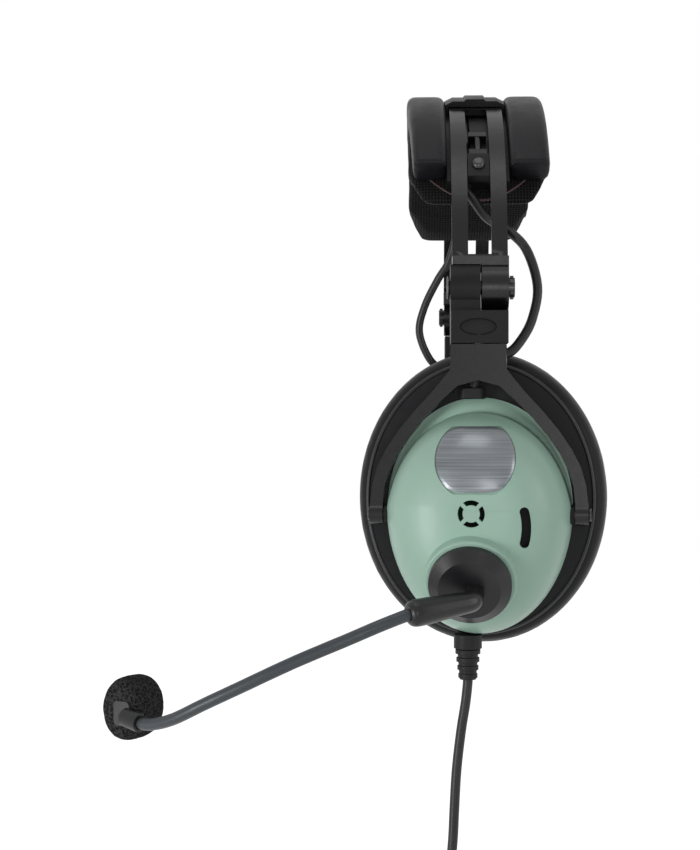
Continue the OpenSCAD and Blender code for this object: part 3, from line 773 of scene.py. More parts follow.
def tube(name, route, radius, material, sides=16, swell=None):
    """Round tube mesh along a route of points; swell scales the radius at each point."""
    curve = bpy.data.curves.new(name, "CURVE")
    curve.dimensions = "3D"
    curve.bevel_depth = radius
    curve.bevel_resolution = sides // 4
    curve.use_fill_caps = True
    spline = curve.splines.new("POLY")
    spline.points.add(len(route) - 1)
    for i, (point, place) in enumerate(zip(spline.points, route)):
        point.co = (*place, 1.0)
        point.radius = swell[i] if swell else 1.0
    obj = bpy.data.objects.new(name, curve)
    bpy.context.scene.collection.objects.link(obj)
    select_only(obj)
    bpy.ops.object.convert(target="MESH")
    obj = added(name)
    bpy.ops.object.shade_smooth_by_angle(angle=math.radians(50))
    paint(obj, material)
    return obj


def smooth_route(points, steps):
    """Points of a smooth curve through chosen points."""
    route = []
    last = len(points) - 1
    for i in range(last):
        a, b = points[max(i - 1, 0)], points[i]
        c, d = points[i + 1], points[min(i + 2, last)]
        for s in range(steps):
            t = s / steps
            route.append(
                0.5
                * (
                    2 * b
                    + (c - a) * t
                    + (2 * a - 5 * b + 4 * c - d) * t * t
                    + (3 * b - a - 3 * c + d) * t * t * t
                )
            )
    route.append(points[last])
    return route


def in_mm(*points):
    return [Vector(p) * MM for p in points]


# ---- Camera, lights and stage ----


class HEADSET_OT_stage(bpy.types.Operator):
    """Camera, soft studio lights and the plain white ground"""

    bl_idname = "headset.stage"
    bl_label = "Stage and camera"

    def execute(self, context):
        self.camera(context)
        self.lights(context)
        self.ground(context)
        context.scene.view_settings.view_transform = "Standard"
        return {"FINISHED"}

    def camera(self, context):
        lens = bpy.data.cameras.new("camera")
        lens.lens = 71.4
        lens.sensor_width = 36.0
        lens.clip_start = 0.01
        camera = bpy.data.objects.new("camera", lens)
        camera.location = (-0.0250, -0.7014, -0.111)
        camera.rotation_euler = (math.radians(90), 0, math.radians(2.1))
        context.scene.collection.objects.link(camera)
        context.scene.camera = camera

    def lamp(self, context, name, place, aim, size, power):
        data = bpy.data.lights.new(name, "AREA")
        data.shape = "RECTANGLE"
        data.size, data.size_y = size
        data.energy = power
        lamp = bpy.data.objects.new(name, data)
        lamp.location = place
        lamp.rotation_euler = (Vector(aim) - Vector(place)).to_track_quat("-Z", "Y").to_euler()
        context.scene.collection.objects.link(lamp)

    def lights(self, context):
        middle = (0, -0.09, -0.12)
        self.lamp(context, "top light", (-0.1, -0.3, 0.8), middle, (0.5, 0.4), 1.1)
        self.lamp(context, "left light", (-0.85, -0.75, -0.35), middle, (0.4, 0.6), 8.2)
        self.lamp(context, "right light", (0.9, -0.45, 0.05), middle, (0.12, 0.8), 2.2)
        self.lamp(context, "front light", (0.1, -1.3, -0.1), middle, (0.4, 0.4), 1.8)
        world = bpy.data.worlds.new("world")
        context.scene.world = world
        world.use_nodes = True
        tree = world.node_tree
        sky = tree.nodes["Background"]
        sky.inputs["Color"].default_value = (1, 1, 1, 1)
        sky.inputs["Strength"].default_value = 0.16
        white = tree.nodes.new("ShaderNodeBackground")
        white.inputs["Strength"].default_value = 1.0
        white.inputs["Color"].default_value = (1, 1, 1, 1)
        mix = tree.nodes.new("ShaderNodeMixShader")
        tree.links.new(self.seen(tree), mix.inputs[0])
        tree.links.new(sky.outputs[0], mix.inputs[1])
        tree.links.new(white.outputs[0], mix.inputs[2])
        tree.links.new(mix.outputs[0], tree.nodes["World Output"].inputs["Surface"])

    def seen(self, tree):
        """1 for what the camera sees, straight or in a reflection."""
        path = tree.nodes.new("ShaderNodeLightPath")
        both = maths(tree, "MAXIMUM", path.outputs["Is Camera Ray"], path.outputs["Is Glossy Ray"])
        return maths(tree, "MAXIMUM", both, path.outputs["Is Transmission Ray"])

    def ground(self, context):
        bpy.ops.object.select_all(action="DESELECT")
        bpy.ops.mesh.primitive_plane_add(size=6, location=(0, 0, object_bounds()[0][2] - 0.02))
        floor = added("floor")
        material = bpy.data.materials.new("floor white")
        material.use_nodes = True
        tree = material.node_tree
        surface = tree.nodes["Principled BSDF"]
        surface.inputs["Base Color"].default_value = (0.85, 0.85, 0.85, 1)
        surface.inputs["Roughness"].default_value = 1.0
        surface.inputs["Specular IOR Level"].default_value = 0.0
        surface.inputs["Emission Color"].default_value = (1, 1, 1, 1)
        tree.links.new(maths(tree, "MULTIPLY", self.seen(tree), 0.95), surface.inputs["Emission Strength"])
        paint(floor, material)
        settle(floor)
        floor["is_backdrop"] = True


# ---- Cords ----

MAIN_ROUTE = in_mm(
    (-4.7, -89.5, -203.2),
    (-4.9, -89.5, -206),
    (-5.6, -89.6, -212),
    (-7.2, -89.8, -222),
    (-8.8, -90, -236),
    (-9.6, -90, -250),
    (-10.2, -90, -262),
    (-11.4, -90, -270.5),
    (-15.2, -90, -277.2),
)
COIL_EXIT = in_mm((-17.5, -90, -331.8), (-12.2, -90, -335.4), (-10, -90, -341), (-10, -90, -343))
STRANDS = (
    (1.4, 0),
    (0.45, 0),
    (0.95, 0.87),
    (0, 0.87),
    (-0.95, 0.87),
    (-0.5, 0),
    (-1.4, 0),
    (-0.95, -0.87),
    (0, -0.87),
    (0.95, -0.87),
)
TAILS = {
    "earphone": in_mm((-5.5, -90, -358.2), (-5.5, -90, -361.5), (-4.2, -90, -366), (-1.6, -90, -371), (-1, -90, -376)),
    "microphone": in_mm((-14.5, -90, -358.2), (-14.5, -90, -361.5), (-15.8, -90, -366), (-18.4, -90, -371), (-19, -90, -376)),
}
LEAD_ROUTES = {
    "left": in_mm(
        (-4.5, -64.94, -20.47),
        (-4.5, -65.735, -21.742),
        (-4.5, -66.53, -23.014),
        (-1.7, -68.6, -27),
        (3, -70.3, -33.5),
        (9.5, -73.5, -38),
        (17, -78, -46),
        (21, -81.5, -60),
        (19, -84, -72),
        (15, -85.8, -79.8),
        (10.2, -87.6, -84.8),
        (3.5, -89.3, -86.2),
        (-0.8, -89.8, -91),
        (-2.5, -90, -97.5),
    ),
    "right": in_mm(
        (-4.5, 65.6, -20.8),
        (-5.5, 68.5, -27),
        (-8.5, 72, -37),
        (-13, 76, -44),
        (-19, 80, -56),
        (-21.5, 83, -68),
        (-16.5, 84.8, -80.6),
        (-9.5, 87, -85.4),
        (-3.5, 89.1, -86.5),
        (-0.6, 89.8, -91.2),
        (-0.5, 90, -97.5),
    ),
}
LEAD_CUTS = {"left": (0, 6, 8, 10, 13), "right": (0, 4, 5, 7, 10)}


class HEADSET_OT_cords(bpy.types.Operator):
    """Main cord with its coil and plugs, and the two leads that loop past the hinges"""

    bl_idname = "headset.cords"
    bl_label = "Cords"

    def execute(self, context):
        self.main_cord()
        for side in SIDES:
            self.lead(side)
        return {"FINISHED"}

    def declare(self, obj, route, diameter, far_end, lay, pieces=()):
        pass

    def main_cord(self):
        """One cord: straight down, round the coil's turns, and out into the splitter."""
        d = sizes().cord
        turns = self.coil_route(d * 1.03)
        route = smooth_route(MAIN_ROUTE + turns[:1], 4)[:-1] + turns[:-1]
        route += smooth_route(turns[-1:] + COIL_EXIT, 4)
        cord = tube("main_cord_jacket", route, d / 2, cord_jacket(), 12)
        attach(cord, "cord")
        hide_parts("main_cord", "cord_coil")
        pieces = ["cord_tie", "y_splitter", "plug_grips", "plug_pins"]
        for name, points in TAILS.items():
            tail = tube("tail_" + name, smooth_route(points, 5), d / 2, cord_jacket(), 12)
            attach(tail, "cord")
            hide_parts("plug_tails")
            pieces.append(tail)
        self.declare(cord, route, d, "fitting", "hanging", pieces)

    def coil_route(self, pitch):
        """Turns of the coil; each moves to the next place in the bundle as it passes under the tie."""
        route = []
        for degrees in range(118, 235 + 360 * 9 + 1, 9):
            k, past = divmod(degrees + 180, 360)
            ease = max(0.0, min(1.0, (past - 140) / 80))
            ease = ease * ease * (3 - 2 * ease)
            before = STRANDS[max(k - 1, 0)]
            after = STRANDS[min(k, len(STRANDS) - 1)]
            out = before[0] * (1 - ease) + after[0] * ease
            side = before[1] * (1 - ease) + after[1] * ease
            angle = math.radians(degrees)
            r = COIL_R + out * pitch
            route.append(COIL_AT + Vector((r * math.cos(angle), side * pitch, r * math.sin(angle))))
        return route

    def lead(self, side):
        """A lead in four lengths, one over each joint that it passes."""
        points = LEAD_ROUTES[side]
        whole = smooth_route(points, 6)
        cuts = LEAD_CUTS[side]
        lengths = []
        for i in range(4):
            route = whole[cuts[i] * 6 : cuts[i + 1] * 6 + 1]
            lead = tube("lead_part_" + side + "_" + str(i + 1), route, sizes().lead / 2, cord_jacket(), 12)
            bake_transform(lead)
            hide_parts("lead_" + side)
            lengths.append((lead, route))
        first, route = lengths[0]
        self.declare(first, route, sizes().lead, "object", "hanging", [lead for lead, _ in lengths[1:]])


# ---- Headband ----


class HEADSET_OT_head_pad(bpy.types.Operator):
    """Mesh-covered cushion and the two leather rolls over it"""

    bl_idname = "headset.head_pad"
    bl_label = "Head pad"

    def execute(self, context):
        cushion = soft_copy("pad_cushion", "cushion_cover", 1.6 * MM, 6, 3.0, 1.5 * MM)
        for vertex in cushion.data.vertices:
            self.round_end(vertex.co)
        apply_modifier(cushion, "SMOOTH", factor=0.5, iterations=3)
        apply_modifier(cushion, "SUBSURF", levels=1, render_levels=1)
        self.cover(cushion, "pad_cushion", mesh_fabric(), 0.7)
        for node in ("pad_roll_front", "pad_roll_rear"):
            roll = soft_copy(node, node + "_cover", 1.1 * MM, 3, 2.0, 0.5 * MM)
            for vertex in roll.data.vertices:
                self.slim_end(vertex.co)
            apply_modifier(roll, "SUBSURF", levels=1, render_levels=1)
            self.cover(roll, node, leatherette(), 0.8)
        for end in (-1, 1):
            self.piping(end)
        return {"FINISHED"}

    def end_angle(self, x, depth):
        """Where the cushion stops, in degrees from the crown, by its width and its depth under the top."""
        corner = max(0.0, min(1.0, (abs(x) / MM - 17) / 9.5))
        return 63 - 7 * (1 - math.sqrt(1 - corner**2)) - 9 * (max(depth, 0) / (13 * MM)) ** 1.5

    def round_end(self, co):
        """Draws the cushion's square end in to a rounded one."""
        y, z = co.y, co.z + 61 * MM
        angle = math.degrees(math.atan2(abs(y), z))
        if angle < 42:
            return
        r = math.hypot(y, z)
        stop = self.end_angle(co.x, 74 * MM - r)
        turned = math.radians(42 + (angle - 42) * (stop - 42) / 22)
        co.y = math.copysign(r * math.sin(turned), y)
        co.z = r * math.cos(turned) - 61 * MM

    def slim_end(self, co):
        """Rolls stop square at their ends, and the front one narrows a little towards them."""
        y, z = co.y, co.z + 61 * MM
        r, angle = math.hypot(y, z), math.atan2(y, z) * 0.955
        co.y, co.z = r * math.sin(angle), r * math.cos(angle) - 61 * MM
        t = max(0.0, (abs(math.degrees(angle)) - 20) / 37)
        outer = max(0.0, (-co.x / MM - 12) / 15)
        co.x += 2.6 * MM * t * outer

    def piping(self, end):
        """Dark red piping sewn in an arc across the cushion's end."""
        route = []
        for i in range(-20, 21):
            x = i * MM
            angle = math.radians(62 - 7.5 * (abs(i) / 18) ** 2.2)
            r = 73.9 * MM
            route.append(Vector((x, end * r * math.sin(angle), r * math.cos(angle) - 61 * MM)))
        name = "cushion_piping_" + ("left" if end < 0 else "right")
        seam = tube(name, route, 0.55 * MM, piping_cord(), 8)
        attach(seam, "headband")

    def cover(self, obj, node, material, fill):
        select_only(obj)
        bpy.ops.object.shade_smooth()
        paint(obj, material)
        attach(obj, "headband")
        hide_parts(node)


class HEADSET_OT_headband_frame(bpy.types.Operator):
    """Spine, crown bridge, slider brackets, screws and lead conduits"""

    bl_idname = "headset.headband_frame"
    bl_label = "Headband frame"

    def execute(self, context):
        broken_edges("pad_spine", black_plastic())
        broken_edges("crown_bridge", black_plastic(), 0.5 * MM, 3)
        broken_edges("slider_brackets", black_plastic())
        broken_edges("crown_screws", plated_steel(), 0.2 * MM)
        broken_edges("slider_screws", plated_steel(), 0.5 * MM, 3)
        broken_edges("lead_conduits", coated_metal(), 0.2 * MM)
        paint(NODES["crossover_lead"], cord_jacket())
        return {"FINISHED"}


# ---- Arms, hinges and yokes ----


class HEADSET_OT_arms(bpy.types.Operator):
    """Slotted arms with their hinge pins, lock nuts and hinge blocks"""

    bl_idname = "headset.arms"
    bl_label = "Arms and hinges"

    def execute(self, context):
        for side in SIDES:
            broken_edges("arm_" + side, coated_metal(), 0.45 * MM, 3)
            broken_edges("hinge_block_" + side, black_plastic(), 0.6 * MM, 3)
            broken_edges("hinge_pin_" + side, plated_steel(), 0.25 * MM)
            broken_edges("lock_nut_" + side, plated_steel(), 0.15 * MM)
            self.inlay(side)
        return {"FINISHED"}

    def inlay(self, side):
        """Smooth oval inlay in the block's outer face."""
        turn = 1 if side == "left" else -1
        bpy.ops.object.select_all(action="DESELECT")
        bpy.ops.mesh.primitive_uv_sphere_add(
            segments=64, ring_count=32, radius=1, location=(-1.2 * turn * MM, -96.3 * turn * MM, -75.75 * MM)
        )
        obj = added("hinge_inlay_" + side)
        obj.scale = (6.6 * MM, 0.55 * MM, 3.05 * MM)
        settle(obj)
        bpy.ops.object.shade_smooth()
        paint(obj, black_plastic())
        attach(obj, "hinge_" + side)


class HEADSET_OT_yokes(bpy.types.Operator):
    """Yokes that straddle the cups, with their pivot pins"""

    bl_idname = "headset.yokes"
    bl_label = "Yokes"

    def execute(self, context):
        for side in SIDES:
            broken_edges("yoke_" + side, coated_metal(), 0.8 * MM, 3, 40)
            broken_edges("pivot_pins_" + side, plated_steel(), 0.2 * MM)
        return {"FINISHED"}


# ---- Cups ----


class HEADSET_OT_ear_seals(bpy.types.Operator):
    """Soft ear seals and the foam inside them"""

    bl_idname = "headset.ear_seals"
    bl_label = "Ear seals"

    def execute(self, context):
        for side in SIDES:
            seal = soft_copy("ear_seal_" + side, "seal_skin_" + side, 1.8 * MM, 4, 2.0, 0.8 * MM)
            apply_modifier(seal, "SUBSURF", levels=1, render_levels=1)
            self.cover(seal, "ear_seal_" + side, seal_skin(), 0.8)
            liner = soft_copy("foam_liner_" + side, "liner_foam_" + side, 1.0 * MM, 3)
            self.cover(liner, "foam_liner_" + side, open_foam(), 0.5)
            self.bead(side)
        return {"FINISHED"}

    def bead(self, side):
        """Moulded bead round the cup's edge, where the seal is stretched over it."""
        route = []
        for i in range(97):
            t = math.radians(i * 3.75)
            point = Vector((40.9 * math.cos(t), -87.1, SEAL_Z / MM + 48.9 * math.sin(t))) * MM
            route.append(toed(point, side))
        seam = tube("cup_bead_" + side, route, 0.8 * MM, gloss_plastic(), 12)
        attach(seam, "cup_" + side)

    def cover(self, obj, node, material, fill):
        select_only(obj)
        bpy.ops.object.shade_smooth()
        paint(obj, material)
        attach(obj, BODY_OF_NODE[node])
        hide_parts(node)


def shell_height(x, z):
    """Height of the outer shell over its flange."""
    size = sizes()
    up = size.dome_up if z > 0 else size.dome_down
    u, w = x / (size.dome_width / 2), z / up
    r = min(math.hypot(u, w), 1.0)
    lift = max(0.0, w / r) if r > 0 else 0.0
    foot = 1 - 0.14 * lift**0.8
    b = min(r / foot, 1.0)
    crown = size.dome_deep * (1 - b**2.5) ** 0.4
    a = (r - foot) / (1 - foot) if foot < 1 and r > foot else 0.0
    step = 1.3 * size.shoulder * (1 - 0.55 * min(a, 1.0) ** 2)
    return math.hypot(crown, step) if lift else max(crown, step)


class HEADSET_OT_shells(bpy.types.Operator):
    """Green outer shells with their vent, volume slot, badge recess and boom boss"""

    bl_idname = "headset.shells"
    bl_label = "Outer shells"

    def execute(self, context):
        shell = self.shell("shell")
        badge = self.badge()
        for side in SIDES:
            self.place(shell, "outer_shell_" + side, side, "dome_" + side, green_shell())
            self.place(badge, "badge_plate_" + side, side, "badge_" + side, brushed_badge())
            broken_edges("cup_shell_" + side, black_plastic(), 0.6 * MM, 3)
            broken_edges("lead_grommet_" + side, soft_rubber(), 0.5 * MM, 3, shape=above_shell)
            broken_edges("volume_wheel_" + side, black_plastic(), 0.15 * MM)
            paint(NODES["speaker_" + side], black_plastic())
            paint(NODES["control_board_" + side], board_green())
            paint(NODES["dome_screws_" + side], plated_steel())
        for leftover in (shell, badge):
            bpy.data.objects.remove(leftover)
        broken_edges("blank_cap_right", gloss_plastic(), 0.5 * MM, 3)
        return {"FINISHED"}

    def dome(self, name, inset=0.0, sink=0.0):
        """Closed solid under the shell's surface, in the left cup's own frame before it is turned."""
        bpy.ops.object.select_all(action="DESELECT")
        bpy.ops.mesh.primitive_uv_sphere_add(segments=144, ring_count=120, radius=1)
        obj = added(name)
        bpy.ops.object.mode_set(mode="EDIT")
        bpy.ops.mesh.select_all(action="SELECT")
        bpy.ops.mesh.bisect(plane_co=(0, 0, 0), plane_no=(0, 0, 1), clear_inner=True)
        bpy.ops.object.mode_set(mode="OBJECT")
        size = sizes()
        rim = []
        for vertex in obj.data.vertices:
            u, w = vertex.co.x, vertex.co.y
            up = size.dome_up if w > 0 else size.dome_down
            half = size.dome_width / 2
            h = max(shell_height(u * half, w * up) - inset, 0.2 * MM)
            if vertex.co.z < 1e-4:
                rim.append(vertex.index)
            vertex.co = Vector((u * (half - inset), -FLANGE_FRONT - h + sink, CUP_Z + w * (up - inset)))
        apply_modifier(obj, "SMOOTH", factor=0.4, iterations=2)
        for index in rim:
            obj.data.vertices[index].co.y = -FLANGE_FRONT + sink + inset / 2
        select_only(obj)
        bpy.ops.object.mode_set(mode="EDIT")
        bpy.ops.mesh.select_all(action="DESELECT")
        bpy.ops.mesh.select_non_manifold()
        bpy.ops.mesh.edge_face_add()
        bpy.ops.mesh.select_all(action="SELECT")
        bpy.ops.mesh.normals_make_consistent(inside=False)
        bpy.ops.object.mode_set(mode="OBJECT")
        return obj

    def cylinder(self, name, radius, depth, place, turn, vertices=64):
        bpy.ops.object.select_all(action="DESELECT")
        bpy.ops.mesh.primitive_cylinder_add(
            radius=radius, depth=depth, location=place, rotation=turn, vertices=vertices
        )
        obj = added(name)
        settle(obj)
        return obj

    def block(self, name, low, high):
        bpy.ops.object.select_all(action="DESELECT")
        middle = (Vector(low) + Vector(high)) / 2
        bpy.ops.mesh.primitive_cube_add(size=1, location=middle)
        obj = added(name)
        obj.scale = Vector(high) - Vector(low)
        settle(obj)
        return obj

    def combine(self, obj, tool, operation):
        apply_modifier(obj, "BOOLEAN", operation=operation, object=tool, solver="EXACT")
        bpy.data.objects.remove(tool)

    def shell(self, name):
        obj = self.dome(name)
        self.combine(obj, self.dome("hollow", 2.2 * MM), "DIFFERENCE")
        facing = (math.radians(90), 0, 0)
        lean = (HUB_LEAN, 0, 0)
        away = Vector((0, -math.sin(HUB_LEAN), math.cos(HUB_LEAN)))
        boss = self.cylinder("boss", 16.1 * MM, 7 * MM, HUB_AT - away * 3.8 * MM, lean, 96)
        apply_modifier(boss, "BEVEL", width=0.9 * MM, segments=4, limit_method="ANGLE", angle_limit=1.0)
        self.combine(obj, boss, "UNION")
        hole = self.cylinder("hole", 7.05 * MM, 40 * MM, HUB_AT, lean)
        self.combine(obj, hole, "DIFFERENCE")
        self.combine(obj, self.badge_cutter(), "DIFFERENCE")
        self.cut_vent(obj, facing)
        self.cut_slot(obj, facing)
        for side in (-1, 1):
            ends = sorted((side * 24 * MM, side * 45 * MM))
            pin = self.cylinder(
                "pivot", 3.45 * MM, 21 * MM, (side * 34.5 * MM, -YOKE_Y, -143 * MM), (0, math.radians(90), 0)
            )
            self.combine(obj, pin, "DIFFERENCE")
            notch = self.block(
                "notch",
                (ends[0], -YOKE_Y, (-143 - 3.45) * MM),
                (ends[1], (-87.5 + 2) * MM, (-143 + 3.45) * MM),
            )
            self.combine(obj, notch, "DIFFERENCE")
        return obj

    def badge_cutter(self):
        tool = self.cylinder(
            "badge cutter", 14.15 * MM, 30 * MM, (0, -FLANGE_FRONT - 30 * MM, -122.8 * MM), (math.radians(90), 0, 0), 96
        )
        self.trim_badge(tool, 11.75 * MM)
        self.combine(tool, self.dome("badge floor", 0.0, 0.7 * MM), "DIFFERENCE")
        return tool

    def trim_badge(self, obj, half):
        """Cuts the round outline off at the top and foot."""
        select_only(obj)
        for place, normal in ((-123.2 * MM + half, 1), (-123.2 * MM - half, -1)):
            bpy.ops.object.mode_set(mode="EDIT")
            bpy.ops.mesh.select_all(action="SELECT")
            bpy.ops.mesh.bisect(
                plane_co=(0, 0, place), plane_no=(0, 0, normal), clear_outer=True, use_fill=True
            )
            bpy.ops.object.mode_set(mode="OBJECT")

    def cut_vent(self, obj, facing):
        middle = Vector((-1, -FLANGE_FRONT / MM - 30, -141.7)) * MM
        ring = self.cylinder("vent ring", 4.7 * MM, 30 * MM, middle, facing)
        core = self.cylinder("vent core", 3.0 * MM, 34 * MM, middle, facing)
        self.combine(ring, core, "DIFFERENCE")
        for turn in (45, 135):
            bpy.ops.object.select_all(action="DESELECT")
            bpy.ops.mesh.primitive_cube_add(
                size=1, location=middle, rotation=(0, math.radians(turn), 0)
            )
            rib = added("vent rib")
            rib.scale = (12 * MM, 34 * MM, 1.4 * MM)
            settle(rib)
            self.combine(ring, rib, "DIFFERENCE")
        self.combine(obj, ring, "DIFFERENCE")

    def cut_slot(self, obj, facing):
        """Curved slot over the volume wheel: a bent row of beads along an arc, joined up."""
        middle = Vector((-4.1, -FLANGE_FRONT / MM - 27, -146.5)) * MM
        bpy.ops.object.select_all(action="DESELECT")
        bpy.ops.mesh.primitive_cylinder_add(
            radius=1.65 * MM, depth=30 * MM, rotation=facing, vertices=32, location=middle
        )
        bead = added("slot end")
        settle(bead)
        ring = self.cylinder("slot ring", 23.6 * MM, 30 * MM, middle, facing, 160)
        core = self.cylinder("slot core", 20.3 * MM, 34 * MM, middle, facing, 160)
        self.combine(ring, core, "DIFFERENCE")
        keep = self.block(
            "slot keep",
            middle + Vector((16, -20, -5.46)) * MM,
            middle + Vector((28, 20, 5.46)) * MM,
        )
        self.combine(ring, keep, "INTERSECT")
        for turn in (-14.4, 14.4):
            end = bead.copy()
            end.data = bead.data.copy()
            bpy.context.scene.collection.objects.link(end)
            angle = math.radians(turn)
            shift = Vector((21.95 * math.cos(angle), 0, 21.95 * math.sin(angle))) * MM
            for vertex in end.data.vertices:
                vertex.co += shift
            self.combine(ring, end, "UNION")
        bpy.data.objects.remove(bead)
        self.combine(obj, ring, "DIFFERENCE")

    def badge(self):
        """Brushed plate that follows the shell's curve, with a softly crowned clear coat."""
        bpy.ops.object.select_all(action="DESELECT")
        bpy.ops.mesh.primitive_uv_sphere_add(segments=128, ring_count=48, radius=14 * MM)
        obj = added("badge")
        bpy.ops.object.mode_set(mode="EDIT")
        bpy.ops.mesh.select_all(action="SELECT")
        bpy.ops.mesh.bisect(plane_co=(0, 0, 0), plane_no=(0, 0, 1), clear_inner=True)
        bpy.ops.object.mode_set(mode="OBJECT")
        half = 11.6 * MM
        for vertex in obj.data.vertices:
            x, z = vertex.co.x, vertex.co.y
            reach = math.hypot(x, z)
            level = half * reach / max(abs(z), 1e-9)
            limit = 14 * MM * (1 + (14 * MM / max(level, 1 * MM)) ** 14) ** (-1 / 14)
            k = limit / (14 * MM)
            r = reach / (14 * MM)
            place = Vector((x * k, 0, z * k - 0.4 * MM * (1 - k)))
            height = shell_height(place.x, badge_rise(place.z))
            lens = 0.55 * MM * (1 - r**3.2) - 0.25 * MM * max(0.0, (r - 0.93) / 0.07)
            vertex.co = Vector((place.x, -FLANGE_FRONT - height - lens, -122.8 * MM + place.z))
        apply_modifier(obj, "SOLIDIFY", thickness=0.5 * MM, offset=-1.0)
        select_only(obj)
        bpy.ops.object.mode_set(mode="EDIT")
        bpy.ops.mesh.select_all(action="SELECT")
        bpy.ops.mesh.normals_make_consistent(inside=False)
        bpy.ops.object.mode_set(mode="OBJECT")
        return obj

    def place(self, source, name, side, node, material):
        obj = source.copy()
        obj.data = source.data.copy()
        obj.name = name
        obj.data.name = name
        bpy.context.scene.collection.objects.link(obj)
        for vertex in obj.data.vertices:
            vertex.co = toed(vertex.co, side)
        if side == "right":
            select_only(obj)
            bpy.ops.object.mode_set(mode="EDIT")
            bpy.ops.mesh.select_all(action="SELECT")
            bpy.ops.mesh.flip_normals()
            bpy.ops.object.mode_set(mode="OBJECT")
        select_only(obj)
        bpy.ops.object.shade_smooth_by_angle(angle=math.radians(38))
        paint(obj, material)
        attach(obj, "cup_" + side)
        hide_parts(node)


def above_shell(co):
    """Stops the grommet just over the shell's edge."""
    co.z = max(co.z, -101.6 * MM)


def badge_rise(z):
    return -122.8 * MM - CUP_Z + z


# ---- Boom and microphone ----


class HEADSET_OT_boom(bpy.types.Operator):
    """Boom disc, elbow, slate sleeve and the microphone in its foam"""

    bl_idname = "headset.boom"
    bl_label = "Boom and microphone"

    def execute(self, context):
        broken_edges("boom_hub", gloss_plastic(), 0.7 * MM, 4, 20)
        self.elbow()
        broken_edges("mic_bracket", gloss_plastic(), 0.6 * MM, 3, shape=self.small_bracket)
        sleeve = copy_of("boom_tube", "boom_sleeve")
        apply_modifier(sleeve, "SUBSURF", levels=2, render_levels=2)
        select_only(sleeve)
        bpy.ops.object.shade_smooth_by_angle(angle=math.radians(50))
        paint(sleeve, boom_sleeve())
        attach(sleeve, "boom")
        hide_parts("boom_tube")
        foam = self.windscreen()
        select_only(foam)
        bpy.ops.object.shade_smooth()
        paint(foam, open_foam())
        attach(foam, "boom")
        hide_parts("mic_foam")
        paint(NODES["mic_capsule"], black_plastic())
        paint(NODES["boom_bush"], nylon())
        return {"FINISHED"}

    def elbow(self):
        """Tapered elbow that swells towards the sleeve and rounds in over it."""
        start, end = in_mm((-3.5, -125.6, -171), (-26, -137.2, -174.4))
        root = start + Vector((0, 9.1, 4.1)) * 0.55 * MM
        shape = ((0, 0.74), (0.08, 0.78), (0.3, 0.84), (0.6, 0.94), (0.84, 1.0), (0.93, 0.98), (0.985, 0.86), (1.01, 0.62))
        route = [root] + [start.lerp(end, t) for t, _ in shape]
        swell = [0.7] + [k for _, k in shape]
        obj = tube("boom_elbow_finished", route, 4.8 * MM, gloss_plastic(), 32, swell)
        apply_modifier(obj, "SUBSURF", levels=2, render_levels=2)
        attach(obj, "boom")
        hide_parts("boom_elbow")

    def small_bracket(self, co):
        """Draws the bracket's plate in round the boom's end."""
        own = MIC_TURN.inverted() @ (co - MIC_AT)
        if own.z > -9.6 * MM:
            own.x = own.x * 0.6 + 3.6 * MM
            own.y = own.y * 0.66 + 0.8 * MM
            own.z -= 0.3 * MM
            co[:] = MIC_AT + MIC_TURN @ own

    def windscreen(self):
        """Foam ball with a flat, rimmed back that the bracket sits in."""
        bpy.ops.object.select_all(action="DESELECT")
        bpy.ops.mesh.primitive_uv_sphere_add(segments=96, ring_count=64, radius=1)
        foam = added("mic_windscreen")
        for vertex in foam.data.vertices:
            x, y, z = vertex.co
            ring = math.hypot(x, y)
            wide = (1 - abs(z) ** 3.4) ** 0.34 if abs(z) < 1 else 0.0
            k = wide / ring if ring > 1e-6 else 0.0
            depth = 11.2 * z if z > 0 else 9.9 * z
            if z < 0 and wide < 0.8:
                depth += 1.3 * (1 - wide / 0.8)
            vertex.co = MIC_AT + MIC_TURN @ (Vector((8.6 * x * k + 1.2, 11.3 * y * k, depth)) * MM)
        rough = bpy.data.textures.new("foam lumps", "CLOUDS")
        rough.noise_scale = 2.2 * MM
        apply_modifier(foam, "DISPLACE", texture=rough, strength=0.35 * MM, mid_level=0.5, texture_coords="LOCAL")
        return foam


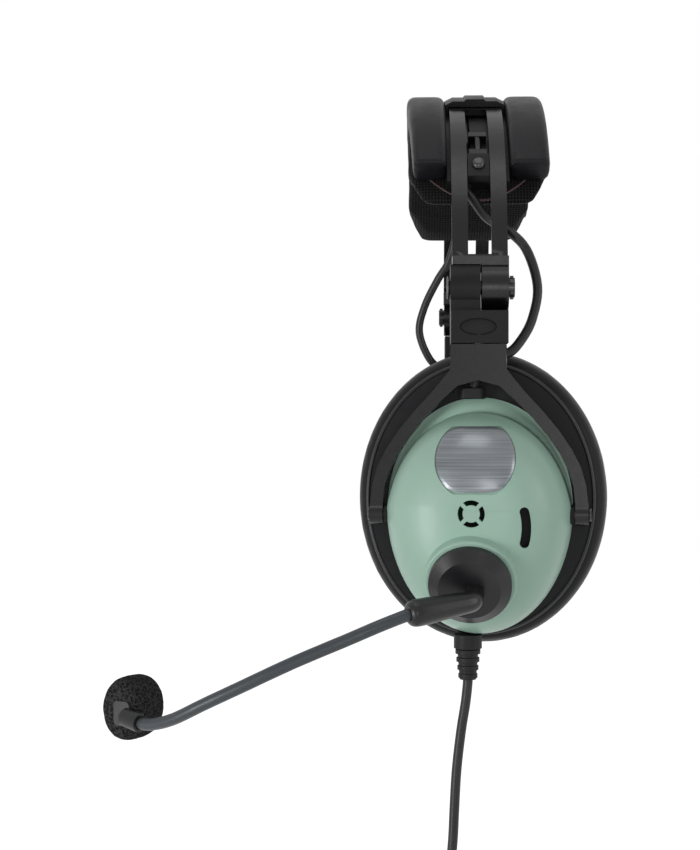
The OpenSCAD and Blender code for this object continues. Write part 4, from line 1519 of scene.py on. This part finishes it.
MIC_AT = Vector((-125, -106, -211)) * MM
MIC_TURN = Matrix.Rotation(math.radians(-28), 3, "Z") @ Matrix.Rotation(math.radians(-90), 3, "X")


class HEADSET_OT_cord_fittings(bpy.types.Operator):
    """Strain relief, cord tie, splitter and plugs"""

    bl_idname = "headset.cord_fittings"
    bl_label = "Cord fittings"

    def execute(self, context):
        broken_edges("strain_relief", soft_rubber(), 0.35 * MM, 3)
        broken_edges("cord_tie", soft_rubber(), 0.3 * MM)
        broken_edges("y_splitter", soft_rubber(), 0.5 * MM, 3)
        broken_edges("plug_grips", gloss_plastic(), 0.5 * MM, 3)
        broken_edges("plug_pins", contact_brass(), 0.2 * MM)
        return {"FINISHED"}


# ---- Panel and registration ----

STEPS = (
    HEADSET_OT_stage,
    HEADSET_OT_cords,
    HEADSET_OT_head_pad,
    HEADSET_OT_headband_frame,
    HEADSET_OT_arms,
    HEADSET_OT_yokes,
    HEADSET_OT_ear_seals,
    HEADSET_OT_shells,
    HEADSET_OT_boom,
    HEADSET_OT_cord_fittings,
)


class HEADSET_PT_pieces(bpy.types.Panel):
    """Lists the pieces of the headset"""

    bl_idname = "HEADSET_PT_pieces"
    bl_label = "Headset"
    bl_space_type = "VIEW_3D"
    bl_region_type = "UI"
    bl_category = "Headset"

    def draw(self, context):
        layout = self.layout
        for step in STEPS:
            layout.operator(step.bl_idname)
        for settings in (context.scene.headset_finish, context.scene.headset_sizes):
            for label in settings.__annotations__:
                layout.prop(settings, label)


CLASSES = (HeadsetFinish, HeadsetSizes, *STEPS, HEADSET_PT_pieces)


def register():
    for cls in CLASSES:
        bpy.utils.register_class(cls)
    bpy.types.Scene.headset_finish = bpy.props.PointerProperty(type=HeadsetFinish)
    bpy.types.Scene.headset_sizes = bpy.props.PointerProperty(type=HeadsetSizes)


def unregister():
    del bpy.types.Scene.headset_sizes
    del bpy.types.Scene.headset_finish
    for cls in reversed(CLASSES):
        bpy.utils.unregister_class(cls)


def main():
    register()
    for step in STEPS:
        group_name, name = step.bl_idname.split(".")
        getattr(getattr(bpy.ops, group_name), name)()


if __name__ == "__main__":
    main()
